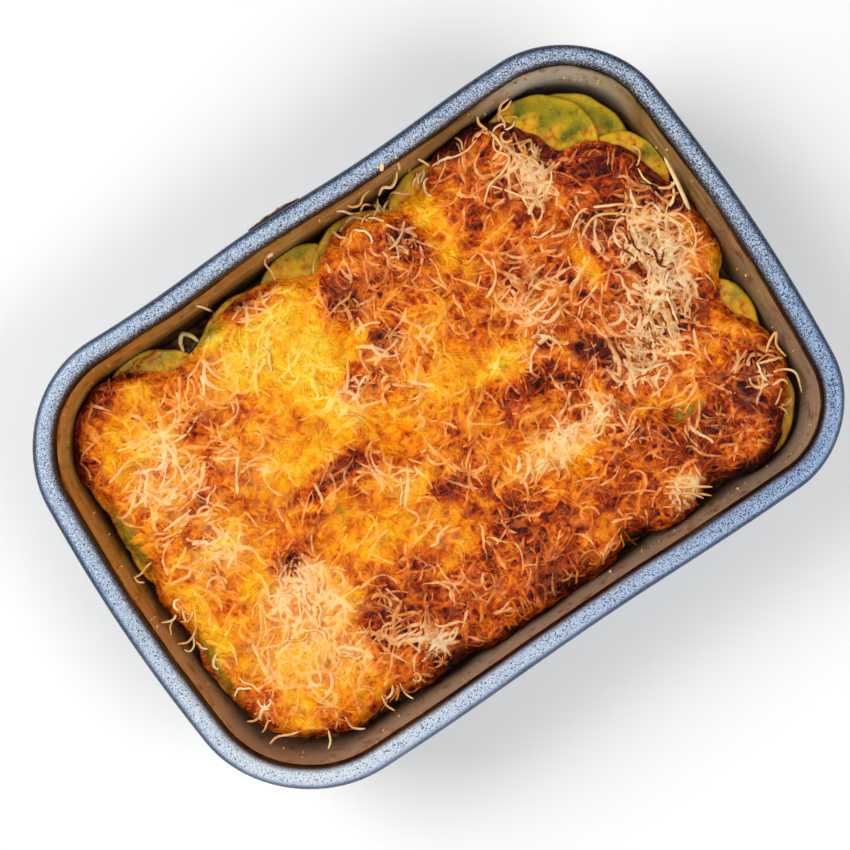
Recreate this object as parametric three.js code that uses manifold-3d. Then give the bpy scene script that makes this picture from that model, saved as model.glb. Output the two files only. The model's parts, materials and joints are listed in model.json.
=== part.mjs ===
// Potato bake under a browned cheese topping, in its rounded stoneware dish.
// Millimetres, +Z up. The origin is on the table, under the middle of the dish's foot.
// The long sides of the dish run along X. The back is +Y.
import * as THREE from 'three';
import { mergeVertices } from 'three/addons/utils/BufferGeometryUtils.js';
import Module from 'manifold-3d';

const wasm = await Module();
wasm.setup();

// Outline of the dish at the outside of its rim
const HALF_LENGTH = 142; // before the short sides bow out
const HALF_WIDTH = 103.4;
const SIDE_BOW = 8;
const BOW_SPAN = 220;
const CORNER_RADII = [41, 46, 48, 37]; // right back, left back, left front, right front
const CORNER_STEPS = 8;
const LONG_SIDE_STEPS = 7;
const SHORT_SIDE_STEPS = 3;
// The hand-made long sides waver a little
const WAVER_BACK = { size: 0.7, length: 107, shift: 18 };
const WAVER_FRONT = { size: -0.5, length: 150, shift: -10 };

// Section through the dish
const DISH_HEIGHT = 60;
const RIM_WIDTH = 9.7;
const RIM_RISE = 6;
const RIM_SQUARENESS = 2.6;
const RIM_STEPS = 8;
const RIM_BASE = DISH_HEIGHT - RIM_RISE;
const RIM_OVERHANG = 3.6;
const NECK_Z = 48.5;
const OUTER_DRAFT = 0.22;
const INNER_DRAFT = 0.22;
// The neck curves out to the rim, as shares of the overhang and of the height
const NECK_CURVE = [[0.72, 0.42], [0.2, 0.8]];
const FOOT_EDGE = 3;
const FOOT_ROUNDING = 0.3;
const FOOT_RING_WIDTH = 8;
const FOOT_RECESS = 1.2;
const FLOOR_Z = 7;
const FLOOR_FILLET = 10;
const FILLET_STEPS = 3;
const CORNER_EASE = 0.6; // how fast the inner corners tighten below the rim

// Levels of the food
const GAP = 0.3; // between neighbours that touch
const WALL_GAP = 0.4; // between the food and the dish
const SLIVER = 0.02; // edges shorter than this are closed up
const FILLING_TOP = 34.5;
const FILLING_DITCH = 5; // the filling has shrunk from the wall
const DITCH_WIDTH = 7;
const TOPPING_BASE = 42.6;
const TOPPING_CROWN = 2.4;
const EDGE_DROP = 3.4;
const EDGE_REACH = 5;
const TOPPING_CELL = 6;
const FILLING_CELL = 11;
const EDGE_SIDES = 112;

// Slices of the top layer, which the melted cheese drapes: x, y, radius and lift above the base
const DRAPED_SLICES = [
  [-104, 60, 28, 1.2], [-106, 30, 27, 0.4], [-107, 0, 26.5, 1.1], [-106, -32, 27, 0.2],
  [-103, -52, 27, 0.8], [-92, -59, 27, 0.3], [-74, 51, 25, 1.5], [-76, 12, 26, 0.6],
  [-46, 55, 28.5, 0.2], [-30, 62, 23, 0.1], [-38, 24, 26, 0.3], [-46, -26, 35, 2.6],
  [-58, -63, 25, 1.3], [14, 60, 25.5, 2.2], [8, 22, 28, 1.4], [-28, -64, 25.5, 0.9],
  [-4, -64, 25.5, 1.6], [20, -64.5, 25, 1.1], [6, -24, 27, 1.3], [44, 56, 24, -0.6],
  [72, 66, 26, 2.3], [46, 22, 27, 1.2], [43, -20, 26, 1.0], [60, -66, 24, 1.5],
  [84, 26, 27, 1.0], [80, -22, 27, 1.3], [104, 36, 25, 1.0], [114, 12, 24, 2.1],
  [112, 2, 24, 1.2], [98, -28, 26, 0.7], [110, -52, 23, 1.9], [98, -67, 22, 1.0],
];
const SLICE_CROWN = 1.3;
const CROWN_DIP = -1; // the lowest that the crown of a slice reaches outside it
const SLICE_SHOULDER = 1.5; // inside its edge a slice starts to fall
const SLICE_FALL = 0.55; // how steeply the cheese falls off a slice
const DRAPE_FLOOR = -1.5; // between the slices
const DRAPE_BLEND = 1.1;
const OUTLINE_BLEND = 9;
const OUTLINE_SEARCH = 1.1; // starts outside the outline, as a share of the dish
const OUTLINE_STRIDE = 0.002;

// Blisters that rose and browned: x, y, radius and height
const BLISTER_FALL = 2.2;
const BLISTERS = [
  [-105, 84, 8, 1.4], [-122, 66, 9, 1.2], [-5, 56, 10, 1.6], [33, 62, 9, 1.2], [0, 40, 8, 1.4],
  [-76, -12, 9, 1.2], [-84, 56, 8, 1.1], [-107, 13, 8, 0.9], [-61, -56, 11, 1.4], [40, -11, 12, 1.3],
  [66, -10, 7, 1.2], [92, -63, 10, 1.6], [113, -50, 11, 1.5], [76, 88, 9, 1.3], [121, 42, 10, 1.2],
  [-38, 6, 12, 1.2], [88, 70, 8, 1.3], [-12, -22, 9, 1.2], [8, -46, 9, 1.1],
];

// Dimples where a bare slice shows through the cheese: x, y, length, width, turn, depth
const DIMPLES = [
  [85, -53, 7, 4.2, 0, 2.2], [35.5, 3, 3.2, 1.5, 1.1, 1.6], [-51, -10, 3.4, 2.6, 0.6, 1.5],
];

// Uneven bumps of the melted cheese: direction, wavelength and height
const BUMP_BEND = 1.6; // how far the crests wander
const BEND_LENGTH = 2.3; // in wavelengths
const BUMP_SHIFT = 1.9; // so that no two crests start together
const BUMPS = [
  [0.35, 41, 0.7], [1.62, 33, 0.65], [2.71, 24, 0.5], [0.92, 19, 0.42], [2.15, 15.5, 0.36],
  [1.21, 13, 0.3],
];

// Bare slices that show between the cheese and the wall, from the top one down:
// x, y, radius, level of the underside and curl
const SLICE_THICKNESS = 3.4;
const SLICE_SIDES = 18;
const SLICE_ROUNDING = 1.3;
const SLICE_UNEVEN = [0.025, 0.018]; // share of the radius, twice and three times round
const BARE_SLICES = [
  [94, 63.5, 26.5, 38.3, 0.5], [114, 37, 22.5, 38.1, 0.4], [105, 58.5, 26.5, 34.8, 0.7],
  [-89, 64.5, 25.5, 34.9, 0.6], [-43, 61.5, 27, 35.1, 0.7], [-14, 67.5, 23.5, 34.8, 0.3],
  [14, 64.5, 25.5, 35, 0.5], [49, 69, 21, 34.9, 0.6], [110, -30.5, 24, 35, 0.6],
  [106, -63, 24.5, 34.9, 0.5], [-108, 18, 26, 35, 0.6], [-107, 52, 26, 34.8, 0.5],
  [-106, -36, 27, 34.9, 0.5],
];

// The slices lie in two tiers, each in its own pocket under the cheese
const UPPER_TIER = 37;
const POCKET_TOPS = { lower: 39.9, upper: 43 };
const POCKET_STAGGER = 0.03; // so that no two pockets share a face

// Shreds of cheese that kept their shape, heaped in drifts: x, y, reach and count
const SHRED_DRIFTS = [
  [86, 66, 15, 4], [112, 14, 15, 4], [80, -28, 20, 5], [34, -36, 20, 4], [-100, 38, 18, 4],
  [-84, -46, 24, 5], [66, -70, 8, 2], [-6, 44, 16, 2], [-44, -66, 14, 2], [-94, -8, 14, 2],
];
const DRIFT_SEED = 7;
const DRIFT_SPIRAL = 2.4; // turns the shreds of a drift apart
const DRIFT_SPREAD = 0.6;
const SHRED_LENGTH = [15, 28];
const SHRED_WIDTH = 2.1;
const SHRED_HEIGHT = 1.5;
const SHRED_RISE = 0.25; // share of its height that the middle of a shred stands proud
const SHRED_STEPS = 4;
const SHRED_BEND = 0.075; // most turn for each millimetre of length
const SHRED_MARGIN = 4.5; // from the edge of the topping

// A pale strand curled up in the gap at the back wall
const STRAND_THICKNESS = 1.9;
const STRAND_STEPS = 12;
const STRAND_ARC_STEPS = 4;
const STRAND_POINTS = [
  [-69, 80.2, 39.9], [-68, 84, 39.6], [-65.6, 86.4, 39.3], [-63, 84, 39.6], [-61.6, 80.2, 40.6],
];

// Sauce that ran over the rim at the back and baked on
const DRIP_START = -17;
const DRIP_END = 4;
const DRIP_STEPS = 12;
const DRIP_THICKNESS = 1.2;
const DRIP_FILM = 0.3;
const DRIP_LEVELS = [45, 48, 51, 53.6, 56.6];
const DRIP_SWELL = [0.25, 0.6, 0.85, 1, 0.45];
const DRIP_TAPER = { from: 0.06, span: 0.88, power: 0.8 }; // of half a wave along its length

const TAU = Math.PI * 2;

// A repeatable source of numbers from 0 to 1
function seededRandom(seed) {
  let state = seed;
  return () => {
    state = (state + 0x6d2b79f5) | 0;
    let mixed = Math.imul(state ^ (state >>> 15), 1 | state);
    mixed = (mixed + Math.imul(mixed ^ (mixed >>> 7), 61 | mixed)) ^ mixed;
    return ((mixed ^ (mixed >>> 14)) >>> 0) / 4294967296;
  };
}

function smoothstep(from, to, value) {
  const t = Math.min(1, Math.max(0, (value - from) / (to - from)));
  return t * t * (3 - 2 * t);
}

// The larger of two values, with a rounded change from one to the other
function roundedMax(a, b, blend) {
  const h = Math.max(0, blend - Math.abs(a - b)) / blend;
  return Math.max(a, b) + h * h * blend * 0.25;
}

function waver(x, y) {
  const { size, length, shift } = y > 0 ? WAVER_BACK : WAVER_FRONT;
  return size * Math.cos((TAU * (x + shift)) / length) * Math.min(1, Math.abs(y) / HALF_WIDTH);
}

// Bows the short sides and wavers the long ones
function shapeOutline(x, y) {
  const bowed = x * (1 + (SIDE_BOW / HALF_LENGTH) * Math.cos((Math.PI * y) / BOW_SPAN));
  return [bowed, y + Math.sign(y) * waver(x, y)];
}

function cornerRadius(corner, inset) {
  const below = Math.max(0, inset - RIM_WIDTH);
  return CORNER_RADII[corner] - Math.min(inset, RIM_WIDTH) - CORNER_EASE * below;
}

// One turn round the dish, inset from the outside of the rim, at one height
function outlineRing(inset, z) {
  const ring = [];
  const signs = [[1, 1], [-1, 1], [-1, -1], [1, -1]];
  signs.forEach(([signX, signY], corner) => {
    const radius = cornerRadius(corner, inset);
    const centreX = signX * (HALF_LENGTH - inset - radius);
    const centreY = signY * (HALF_WIDTH - inset - radius);
    for (let step = 0; step <= CORNER_STEPS; step += 1) {
      const angle = (corner + step / CORNER_STEPS) * (Math.PI / 2);
      ring.push([centreX + radius * Math.cos(angle), centreY + radius * Math.sin(angle)]);
    }
    const next = (corner + 1) % signs.length;
    const nextRadius = cornerRadius(next, inset);
    const startAngle = (corner + 1) * (Math.PI / 2);
    const from = ring[ring.length - 1];
    const to = [
      signs[next][0] * (HALF_LENGTH - inset - nextRadius) + nextRadius * Math.cos(startAngle),
      signs[next][1] * (HALF_WIDTH - inset - nextRadius) + nextRadius * Math.sin(startAngle),
    ];
    const sideSteps = corner % 2 ? SHORT_SIDE_STEPS : LONG_SIDE_STEPS;
    for (let step = 1; step < sideSteps; step += 1) {
      const t = step / sideSteps;
      ring.push([from[0] + (to[0] - from[0]) * t, from[1] + (to[1] - from[1]) * t]);
    }
  });
  return ring.map(([x, y]) => [...shapeOutline(x, y), z]);
}

// A closed skin through rings of equal length, each end shut by a fan
function loftGeometry(rings) {
  const positions = [];
  const faces = [];
  const count = rings[0].length;
  rings.forEach((ring) => ring.forEach((point) => positions.push(...point)));
  for (let row = 0; row < rings.length - 1; row += 1) {
    for (let column = 0; column < count; column += 1) {
      const a = row * count + column;
      const b = row * count + ((column + 1) % count);
      faces.push(a, b, b + count, a, b + count, a + count);
    }
  }
  [0, rings.length - 1].forEach((row) => {
    const hub = positions.length / 3;
    const middle = [0, 1, 2].map((k) => rings[row].reduce((sum, p) => sum + p[k], 0) / count);
    positions.push(...middle);
    for (let column = 0; column < count; column += 1) {
      const a = row * count + column;
      const b = row * count + ((column + 1) % count);
      faces.push(...(row === 0 ? [hub, b, a] : [hub, a, b]));
    }
  });
  return closedGeometry(positions, faces);
}

function closedGeometry(positions, faces) {
  const geometry = new THREE.BufferGeometry();
  geometry.setAttribute('position', new THREE.Float32BufferAttribute(positions, 3));
  geometry.setIndex(faces);
  return geometry;
}

// How far the inner wall stands in from the outside of the rim at a height
function innerInset(z) {
  const filletTop = FLOOR_Z + FLOOR_FILLET;
  const wall = (height) => RIM_WIDTH + INNER_DRAFT * (RIM_BASE - height);
  if (z >= filletTop) {
    return wall(z);
  }
  const drop = filletTop - z;
  return wall(filletTop) + FLOOR_FILLET - Math.sqrt(Math.max(0, FLOOR_FILLET ** 2 - drop ** 2));
}

// Section of the dish as pairs of inset and height, from under the foot to the inner floor
function dishSection() {
  const wallFoot = RIM_OVERHANG + OUTER_DRAFT * (NECK_Z - FOOT_EDGE);
  const ringOuter = wallFoot + FOOT_EDGE;
  const ringInner = ringOuter + FOOT_RING_WIDTH;
  const section = [
    [ringInner + FOOT_RECESS * 2, FOOT_RECESS],
    [ringInner, 0],
    [ringOuter, 0],
    [wallFoot + FOOT_EDGE * FOOT_ROUNDING, FOOT_EDGE * FOOT_ROUNDING],
    [wallFoot, FOOT_EDGE],
    [RIM_OVERHANG, NECK_Z],
  ];
  NECK_CURVE.forEach(([inward, upward]) => {
    section.push([RIM_OVERHANG * inward, NECK_Z + (RIM_BASE - NECK_Z) * upward]);
  });
  for (let step = 0; step <= RIM_STEPS; step += 1) {
    const angle = (Math.PI * step) / RIM_STEPS;
    const across = Math.sign(Math.cos(angle)) * Math.abs(Math.cos(angle)) ** (2 / RIM_SQUARENESS);
    const up = Math.abs(Math.sin(angle)) ** (2 / RIM_SQUARENESS);
    section.push([(RIM_WIDTH / 2) * (1 - across), RIM_BASE + RIM_RISE * up]);
  }
  const middleWall = (RIM_BASE + FLOOR_Z + FLOOR_FILLET) / 2;
  section.push([innerInset(middleWall), middleWall]);
  for (let step = 0; step <= FILLET_STEPS; step += 1) {
    const angle = (Math.PI / 2) * (step / FILLET_STEPS);
    const z = FLOOR_Z + FLOOR_FILLET * (1 - Math.sin(angle));
    section.push([innerInset(z), z]);
  }
  return section;
}

function dishGeometry() {
  return loftGeometry(dishSection().map(([inset, z]) => outlineRing(inset, z)));
}

// The room inside the dish, kept clear of its wall, up to a height
function roomGeometry(gap, top) {
  const heights = [];
  for (let step = 0; step <= FILLET_STEPS; step += 1) {
    const angle = (Math.PI / 2) * (1 - step / FILLET_STEPS);
    heights.push(FLOOR_Z + FLOOR_FILLET * (1 - Math.sin(angle)));
  }
  heights.push(top);
  const rings = heights.map((z) => {
    const lift = z < top ? gap : 0;
    return outlineRing(innerInset(z) + gap, z + lift);
  });
  return loftGeometry(rings);
}

// Rough distance to the inner wall at the level of the food
function wallDistance(x, y) {
  const inset = innerInset(FILLING_TOP);
  const bow = 1 + (SIDE_BOW / HALF_LENGTH) * Math.cos((Math.PI * y) / BOW_SPAN);
  const corner = (y > 0 ? [0, 1] : [3, 2])[x > 0 ? 0 : 1];
  const radius = cornerRadius(corner, inset);
  const overX = Math.abs(x) / bow - (HALF_LENGTH - inset - radius);
  const overY = Math.abs(y) - waver(x, y) - (HALF_WIDTH - inset - radius);
  const outside = Math.hypot(Math.max(0, overX), Math.max(0, overY));
  return radius - outside - Math.min(0, Math.max(overX, overY));
}

// Signed distance to the lobed edge of the topping, negative inside it
function edgeDistance(x, y) {
  let nearest = -Infinity;
  DRAPED_SLICES.forEach(([sliceX, sliceY, radius]) => {
    nearest = roundedMax(nearest, radius - Math.hypot(x - sliceX, y - sliceY), OUTLINE_BLEND);
  });
  return -nearest;
}

function bumps(x, y) {
  return BUMPS.reduce((sum, [direction, wavelength, size], index) => {
    const along = x * Math.cos(direction) + y * Math.sin(direction);
    const across = y * Math.cos(direction) - x * Math.sin(direction);
    const bend = BUMP_BEND * Math.sin((TAU * across) / (wavelength * BEND_LENGTH) + index);
    return sum + size * Math.sin((TAU * along) / wavelength + bend + index * BUMP_SHIFT);
  }, 0);
}

function drapedSlices(x, y) {
  return DRAPED_SLICES.reduce((top, [sliceX, sliceY, radius, lift]) => {
    const reach = Math.hypot(x - sliceX, y - sliceY);
    const crown = SLICE_CROWN * (1 - (reach / radius) ** 2);
    const fall = SLICE_FALL * Math.max(0, reach - radius + SLICE_SHOULDER);
    return roundedMax(top, lift + Math.max(CROWN_DIP, crown) - fall, DRAPE_BLEND);
  }, DRAPE_FLOOR);
}

function blisters(x, y) {
  return BLISTERS.reduce((sum, [blisterX, blisterY, radius, size]) => {
    const reach = Math.hypot(x - blisterX, y - blisterY) / radius;
    return sum + size * Math.exp(-BLISTER_FALL * reach * reach);
  }, 0);
}

function dimples(x, y) {
  return DIMPLES.reduce((sum, [dimpleX, dimpleY, length, width, turn, depth]) => {
    const along = (x - dimpleX) * Math.cos(turn) + (y - dimpleY) * Math.sin(turn);
    const across = (y - dimpleY) * Math.cos(turn) - (x - dimpleX) * Math.sin(turn);
    const reach = (along / length) ** 2 + (across / width) ** 2;
    return sum + depth * Math.exp(-(reach ** 2));
  }, 0);
}

// Height of the top of the cheese
function toppingHeight(x, y) {
  const crown = TOPPING_CROWN * (1 - (x / HALF_LENGTH) ** 2) * (1 - (y / HALF_WIDTH) ** 2);
  const relief = drapedSlices(x, y) + bumps(x, y) + blisters(x, y) - dimples(x, y);
  const toEdge = Math.min(-edgeDistance(x, y), wallDistance(x, y));
  return TOPPING_BASE + crown + relief - EDGE_DROP * smoothstep(EDGE_REACH, 0, toEdge);
}

// Height of the top of the filling under the cheese
function fillingHeight(x, y) {
  const ditch = FILLING_DITCH * smoothstep(DITCH_WIDTH, 1, wallDistance(x, y));
  return FILLING_TOP - ditch;
}

function fillingAndGap(x, y) {
  return fillingHeight(x, y) + GAP;
}

// A block with a flat underside and a top that follows a height
function blockGeometry(heightAt, cell, bottom) {
  const columns = Math.round((2 * (HALF_LENGTH + SIDE_BOW)) / cell);
  const rows = Math.round((2 * HALF_WIDTH) / cell);
  const positions = [];
  const faces = [];
  for (let row = 0; row <= rows; row += 1) {
    for (let column = 0; column <= columns; column += 1) {
      const x = (column - columns / 2) * cell;
      const y = (row - rows / 2) * cell;
      positions.push(x, y, heightAt(x, y));
    }
  }
  const at = (column, row) => row * (columns + 1) + column;
  for (let row = 0; row < rows; row += 1) {
    for (let column = 0; column < columns; column += 1) {
      const [a, b, c, d] = [
        at(column, row), at(column + 1, row), at(column + 1, row + 1), at(column, row + 1),
      ];
      faces.push(...((row + column) % 2 ? [a, b, c, a, c, d] : [a, b, d, b, c, d]));
    }
  }
  const border = [];
  for (let column = 0; column < columns; column += 1) {
    border.push(at(column, 0));
  }
  for (let row = 0; row < rows; row += 1) {
    border.push(at(columns, row));
  }
  for (let column = columns; column > 0; column -= 1) {
    border.push(at(column, rows));
  }
  for (let row = rows; row > 0; row -= 1) {
    border.push(at(0, row));
  }
  const hub = positions.length / 3;
  positions.push(0, 0, bottom);
  border.forEach((top) => positions.push(positions[top * 3], positions[top * 3 + 1], bottom));
  border.forEach((top, index) => {
    const next = (index + 1) % border.length;
    const below = hub + 1 + index;
    const nextBelow = hub + 1 + next;
    faces.push(top, below, nextBelow, top, nextBelow, border[next]);
    faces.push(hub, nextBelow, below);
  });
  return closedGeometry(positions, faces);
}

// An upright prism through the lobed edge of the topping
function edgePrism(bottom, top) {
  const ring = [];
  for (let step = 0; step < EDGE_SIDES; step += 1) {
    const angle = (TAU * step) / EDGE_SIDES;
    const directionX = Math.cos(angle) * HALF_LENGTH;
    const directionY = Math.sin(angle) * HALF_WIDTH;
    let reach = OUTLINE_SEARCH;
    while (edgeDistance(directionX * reach, directionY * reach) > 0) {
      reach -= OUTLINE_STRIDE;
    }
    ring.push([directionX * reach, directionY * reach]);
  }
  return loftGeometry([bottom, top].map((z) => ring.map(([x, y]) => [x, y, z])));
}

// One turn round a slice, whose edge is slightly uneven
function sliceRing([x, y, radius], inset, heightAt) {
  const points = [];
  for (let side = 0; side < SLICE_SIDES; side += 1) {
    const angle = (TAU * side) / SLICE_SIDES;
    const twice = SLICE_UNEVEN[0] * Math.sin(2 * angle + x);
    const thrice = SLICE_UNEVEN[1] * Math.sin(3 * angle + y);
    const reach = radius * (1 + twice + thrice) - inset;
    points.push([x + reach * Math.cos(angle), y + reach * Math.sin(angle), heightAt(angle)]);
  }
  return points;
}

// One thin slice of potato with a rounded edge, curled like a saddle
function sliceGeometry(slice, grow) {
  const [x, , , level, curl] = slice;
  const curled = (z) => (angle) => z + curl * (1 + Math.cos(2 * angle + x));
  const top = level + SLICE_THICKNESS + grow;
  const bottom = level - grow;
  return loftGeometry([
    sliceRing(slice, SLICE_ROUNDING - grow, curled(bottom)),
    sliceRing(slice, -grow, curled((top + bottom) / 2)),
    sliceRing(slice, SLICE_ROUNDING - grow, curled(top)),
  ]);
}

// The room that a slice takes under the cheese
function pocketGeometry(slice) {
  const stagger = POCKET_STAGGER * BARE_SLICES.indexOf(slice);
  const upper = slice[3] > UPPER_TIER;
  const bottom = (upper ? UPPER_TIER : FILLING_TOP - FILLING_DITCH) - stagger;
  const top = (upper ? POCKET_TOPS.upper : POCKET_TOPS.lower) + stagger;
  return loftGeometry([bottom, top].map((z) => sliceRing(slice, -GAP, () => z)));
}

// A strip with a diamond section along points that lie on the cheese
function shredGeometry(points, width, height) {
  const rings = points.map(([x, y, z], index) => {
    const before = points[Math.max(0, index - 1)];
    const after = points[Math.min(points.length - 1, index + 1)];
    const length = Math.hypot(after[0] - before[0], after[1] - before[1]);
    const sideX = (-(after[1] - before[1]) / length) * (width / 2);
    const sideY = ((after[0] - before[0]) / length) * (width / 2);
    return [
      [x, y, z - height / 2], [x + sideX, y + sideY, z],
      [x, y, z + height / 2], [x - sideX, y - sideY, z],
    ];
  });
  return loftGeometry(rings);
}

function scatteredShreds() {
  const random = seededRandom(DRIFT_SEED);
  const shreds = [];
  SHRED_DRIFTS.forEach(([driftX, driftY, reach, count]) => {
    for (let index = 0; index < count; index += 1) {
      const angle = DRIFT_SPIRAL * TAU * ((index + random() * DRIFT_SPREAD) / count);
      const distance = reach * Math.sqrt((index + 0.5) / count);
      let x = driftX + distance * Math.cos(angle);
      let y = driftY + distance * Math.sin(angle);
      let heading = TAU * random();
      const bend = SHRED_BEND * (random() * 2 - 1);
      const length = SHRED_LENGTH[0] + (SHRED_LENGTH[1] - SHRED_LENGTH[0]) * random();
      const stride = length / SHRED_STEPS;
      x -= Math.cos(heading) * length * 0.5;
      y -= Math.sin(heading) * length * 0.5;
      const points = [];
      for (let step = 0; step <= SHRED_STEPS; step += 1) {
        points.push([x, y, toppingHeight(x, y) + SHRED_HEIGHT * SHRED_RISE]);
        x += Math.cos(heading) * stride;
        y += Math.sin(heading) * stride;
        heading += bend * stride;
      }
      const clear = points.every(
        ([px, py]) => -edgeDistance(px, py) > SHRED_MARGIN && wallDistance(px, py) > SHRED_MARGIN,
      );
      if (clear) {
        shreds.push(shredGeometry(points, SHRED_WIDTH, SHRED_HEIGHT));
      }
    }
  });
  return shreds;
}

// A round strand along a smooth curve
function strandGeometry() {
  const section = new THREE.Shape();
  section.absarc(0, 0, STRAND_THICKNESS / 2, 0, TAU, false);
  const path = new THREE.CatmullRomCurve3(STRAND_POINTS.map((p) => new THREE.Vector3(...p)));
  return new THREE.ExtrudeGeometry(section, {
    steps: STRAND_STEPS,
    curveSegments: STRAND_ARC_STEPS,
    bevelEnabled: false,
    extrudePath: path,
  });
}

// The outside of the dish at a height, as an inset
function outerInset(z) {
  if (z <= NECK_Z) {
    return RIM_OVERHANG + OUTER_DRAFT * (NECK_Z - z);
  }
  if (z <= RIM_BASE) {
    return RIM_OVERHANG * smoothstep(RIM_BASE, NECK_Z, z);
  }
  const up = Math.min(1, (z - RIM_BASE) / RIM_RISE);
  return (RIM_WIDTH / 2) * (1 - (1 - up ** RIM_SQUARENESS) ** (1 / RIM_SQUARENESS));
}

// Where the back of the dish stands at x, along its faceted outline
function backWall(x, inset) {
  const side = outlineRing(inset, 0).filter((point) => point[1] > 0);
  const next = side.findIndex((point) => point[0] < x);
  const [from, to] = [side[next - 1], side[next]];
  return from[1] + ((to[1] - from[1]) * (x - from[0])) / (to[0] - from[0]);
}

// A lens of baked sauce that hugs the outside of the rim
function dripGeometry() {
  const sections = [];
  for (let step = 0; step <= DRIP_STEPS; step += 1) {
    const t = step / DRIP_STEPS;
    const x = DRIP_END + (DRIP_START - DRIP_END) * t;
    const wave = Math.sin(Math.PI * (DRIP_TAPER.from + DRIP_TAPER.span * t));
    const swell = wave ** DRIP_TAPER.power;
    const inner = DRIP_LEVELS.map((z) => [x, backWall(x, outerInset(z)) + GAP, z]);
    const outer = inner.map(([, wall, z], level) => [
      x,
      wall + DRIP_FILM + DRIP_THICKNESS * swell * DRIP_SWELL[level],
      z - DRIP_FILM * (1 - swell),
    ]);
    sections.push([...inner, ...outer.reverse()]);
  }
  return loftGeometry(sections);
}

// Turns a closed geometry into a solid that can be joined and cut
function asSolid(geometry) {
  const bare = geometry.clone();
  bare.deleteAttribute('normal');
  bare.deleteAttribute('uv');
  const merged = mergeVertices(bare, SLIVER / 10);
  const mesh = new wasm.Mesh({
    numProp: 3,
    vertProperties: new Float32Array(merged.attributes.position.array),
    triVerts: new Uint32Array(merged.index.array),
  });
  return new wasm.Manifold(mesh);
}

// The largest piece of a solid, without slivers, loose scraps and sealed hollows
function asGeometry(solid) {
  let rest = solid.simplify(SLIVER);
  let geometry = null;
  let pieces = 2;
  while (pieces > 1) {
    const bodies = rest.decompose();
    bodies.sort((a, b) => b.volume() - a.volume());
    const { vertProperties, triVerts } = bodies[0].getMesh();
    geometry = closedGeometry(Array.from(vertProperties), Array.from(triVerts));
    rest = asSolid(geometry);
    pieces = rest.decompose().length;
  }
  geometry.computeVertexNormals();
  return geometry;
}

function addPiece(group, name, geometry, material) {
  const mesh = new THREE.Mesh(geometry, material);
  mesh.name = name;
  group.add(mesh);
}

const glazedStoneware = new THREE.MeshStandardMaterial({ color: 0x96a5bd, roughness: 0.38, metalness: 0 });
const meltedCheese = new THREE.MeshStandardMaterial({ color: 0xe08a1c, roughness: 0.42, metalness: 0 });
const bakedFilling = new THREE.MeshStandardMaterial({ color: 0x6b5216, roughness: 0.4, metalness: 0 });
const bakedPotato = new THREE.MeshStandardMaterial({ color: 0xa79a2e, roughness: 0.3, metalness: 0 });
const paleStrand = new THREE.MeshStandardMaterial({ color: 0xc9b876, roughness: 0.4, metalness: 0 });
const burntSauce = new THREE.MeshStandardMaterial({ color: 0x5e3a14, roughness: 0.6, metalness: 0 });

const bake = new THREE.Group();
addPiece(bake, 'stoneware_dish', dishGeometry(), glazedStoneware);

// Each bare slice gives way to those above it and to the wall
const room = asSolid(roomGeometry(WALL_GAP, DISH_HEIGHT));
let takenByAbove = asSolid(sliceGeometry(BARE_SLICES[0], GAP));
BARE_SLICES.forEach((slice, index) => {
  let solid = asSolid(sliceGeometry(slice, 0)).intersect(room);
  if (index > 0) {
    solid = solid.subtract(takenByAbove);
    takenByAbove = takenByAbove.add(asSolid(sliceGeometry(slice, GAP)));
  }
  const number = String(index + 1).padStart(2, '0');
  addPiece(bake, `potato_slice_${number}`, asGeometry(solid), bakedPotato);
});

// The filling runs through the food, under the slices
const filling = asSolid(blockGeometry(fillingHeight, FILLING_CELL, 0)).intersect(room);
addPiece(bake, 'potato_filling', asGeometry(filling), bakedFilling);

// The topping fills what is left up to its own uneven top, inside its lobed edge
const edge = asSolid(edgePrism(FLOOR_Z, DISH_HEIGHT));
let topping = asSolid(blockGeometry(toppingHeight, TOPPING_CELL, FLOOR_Z));
topping = topping.intersect(room).intersect(edge);
topping = topping.subtract(asSolid(blockGeometry(fillingAndGap, FILLING_CELL, 0)));
const pockets = BARE_SLICES.map((slice) => asSolid(pocketGeometry(slice)));
topping = topping.subtract(pockets.reduce((joined, pocket) => joined.add(pocket)));
scatteredShreds().forEach((shred) => {
  topping = topping.add(asSolid(shred));
});
addPiece(bake, 'cheese_topping', asGeometry(topping), meltedCheese);

addPiece(bake, 'curled_strand', strandGeometry(), paleStrand);
addPiece(bake, 'baked_on_drip', dripGeometry(), burntSauce);

export default bake;
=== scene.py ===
# %% [markdown]
# # A potato bake under browned cheese
# The bake lies in a rounded stoneware dish. Grated cheese melted over slices of potato and browned.
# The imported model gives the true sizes, so each piece below is made in its place and its size.

# %% Load the fixed frame
import json
import math
import bmesh
import bpy
import numpy as np
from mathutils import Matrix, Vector
from mathutils.bvhtree import BVHTree

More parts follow.
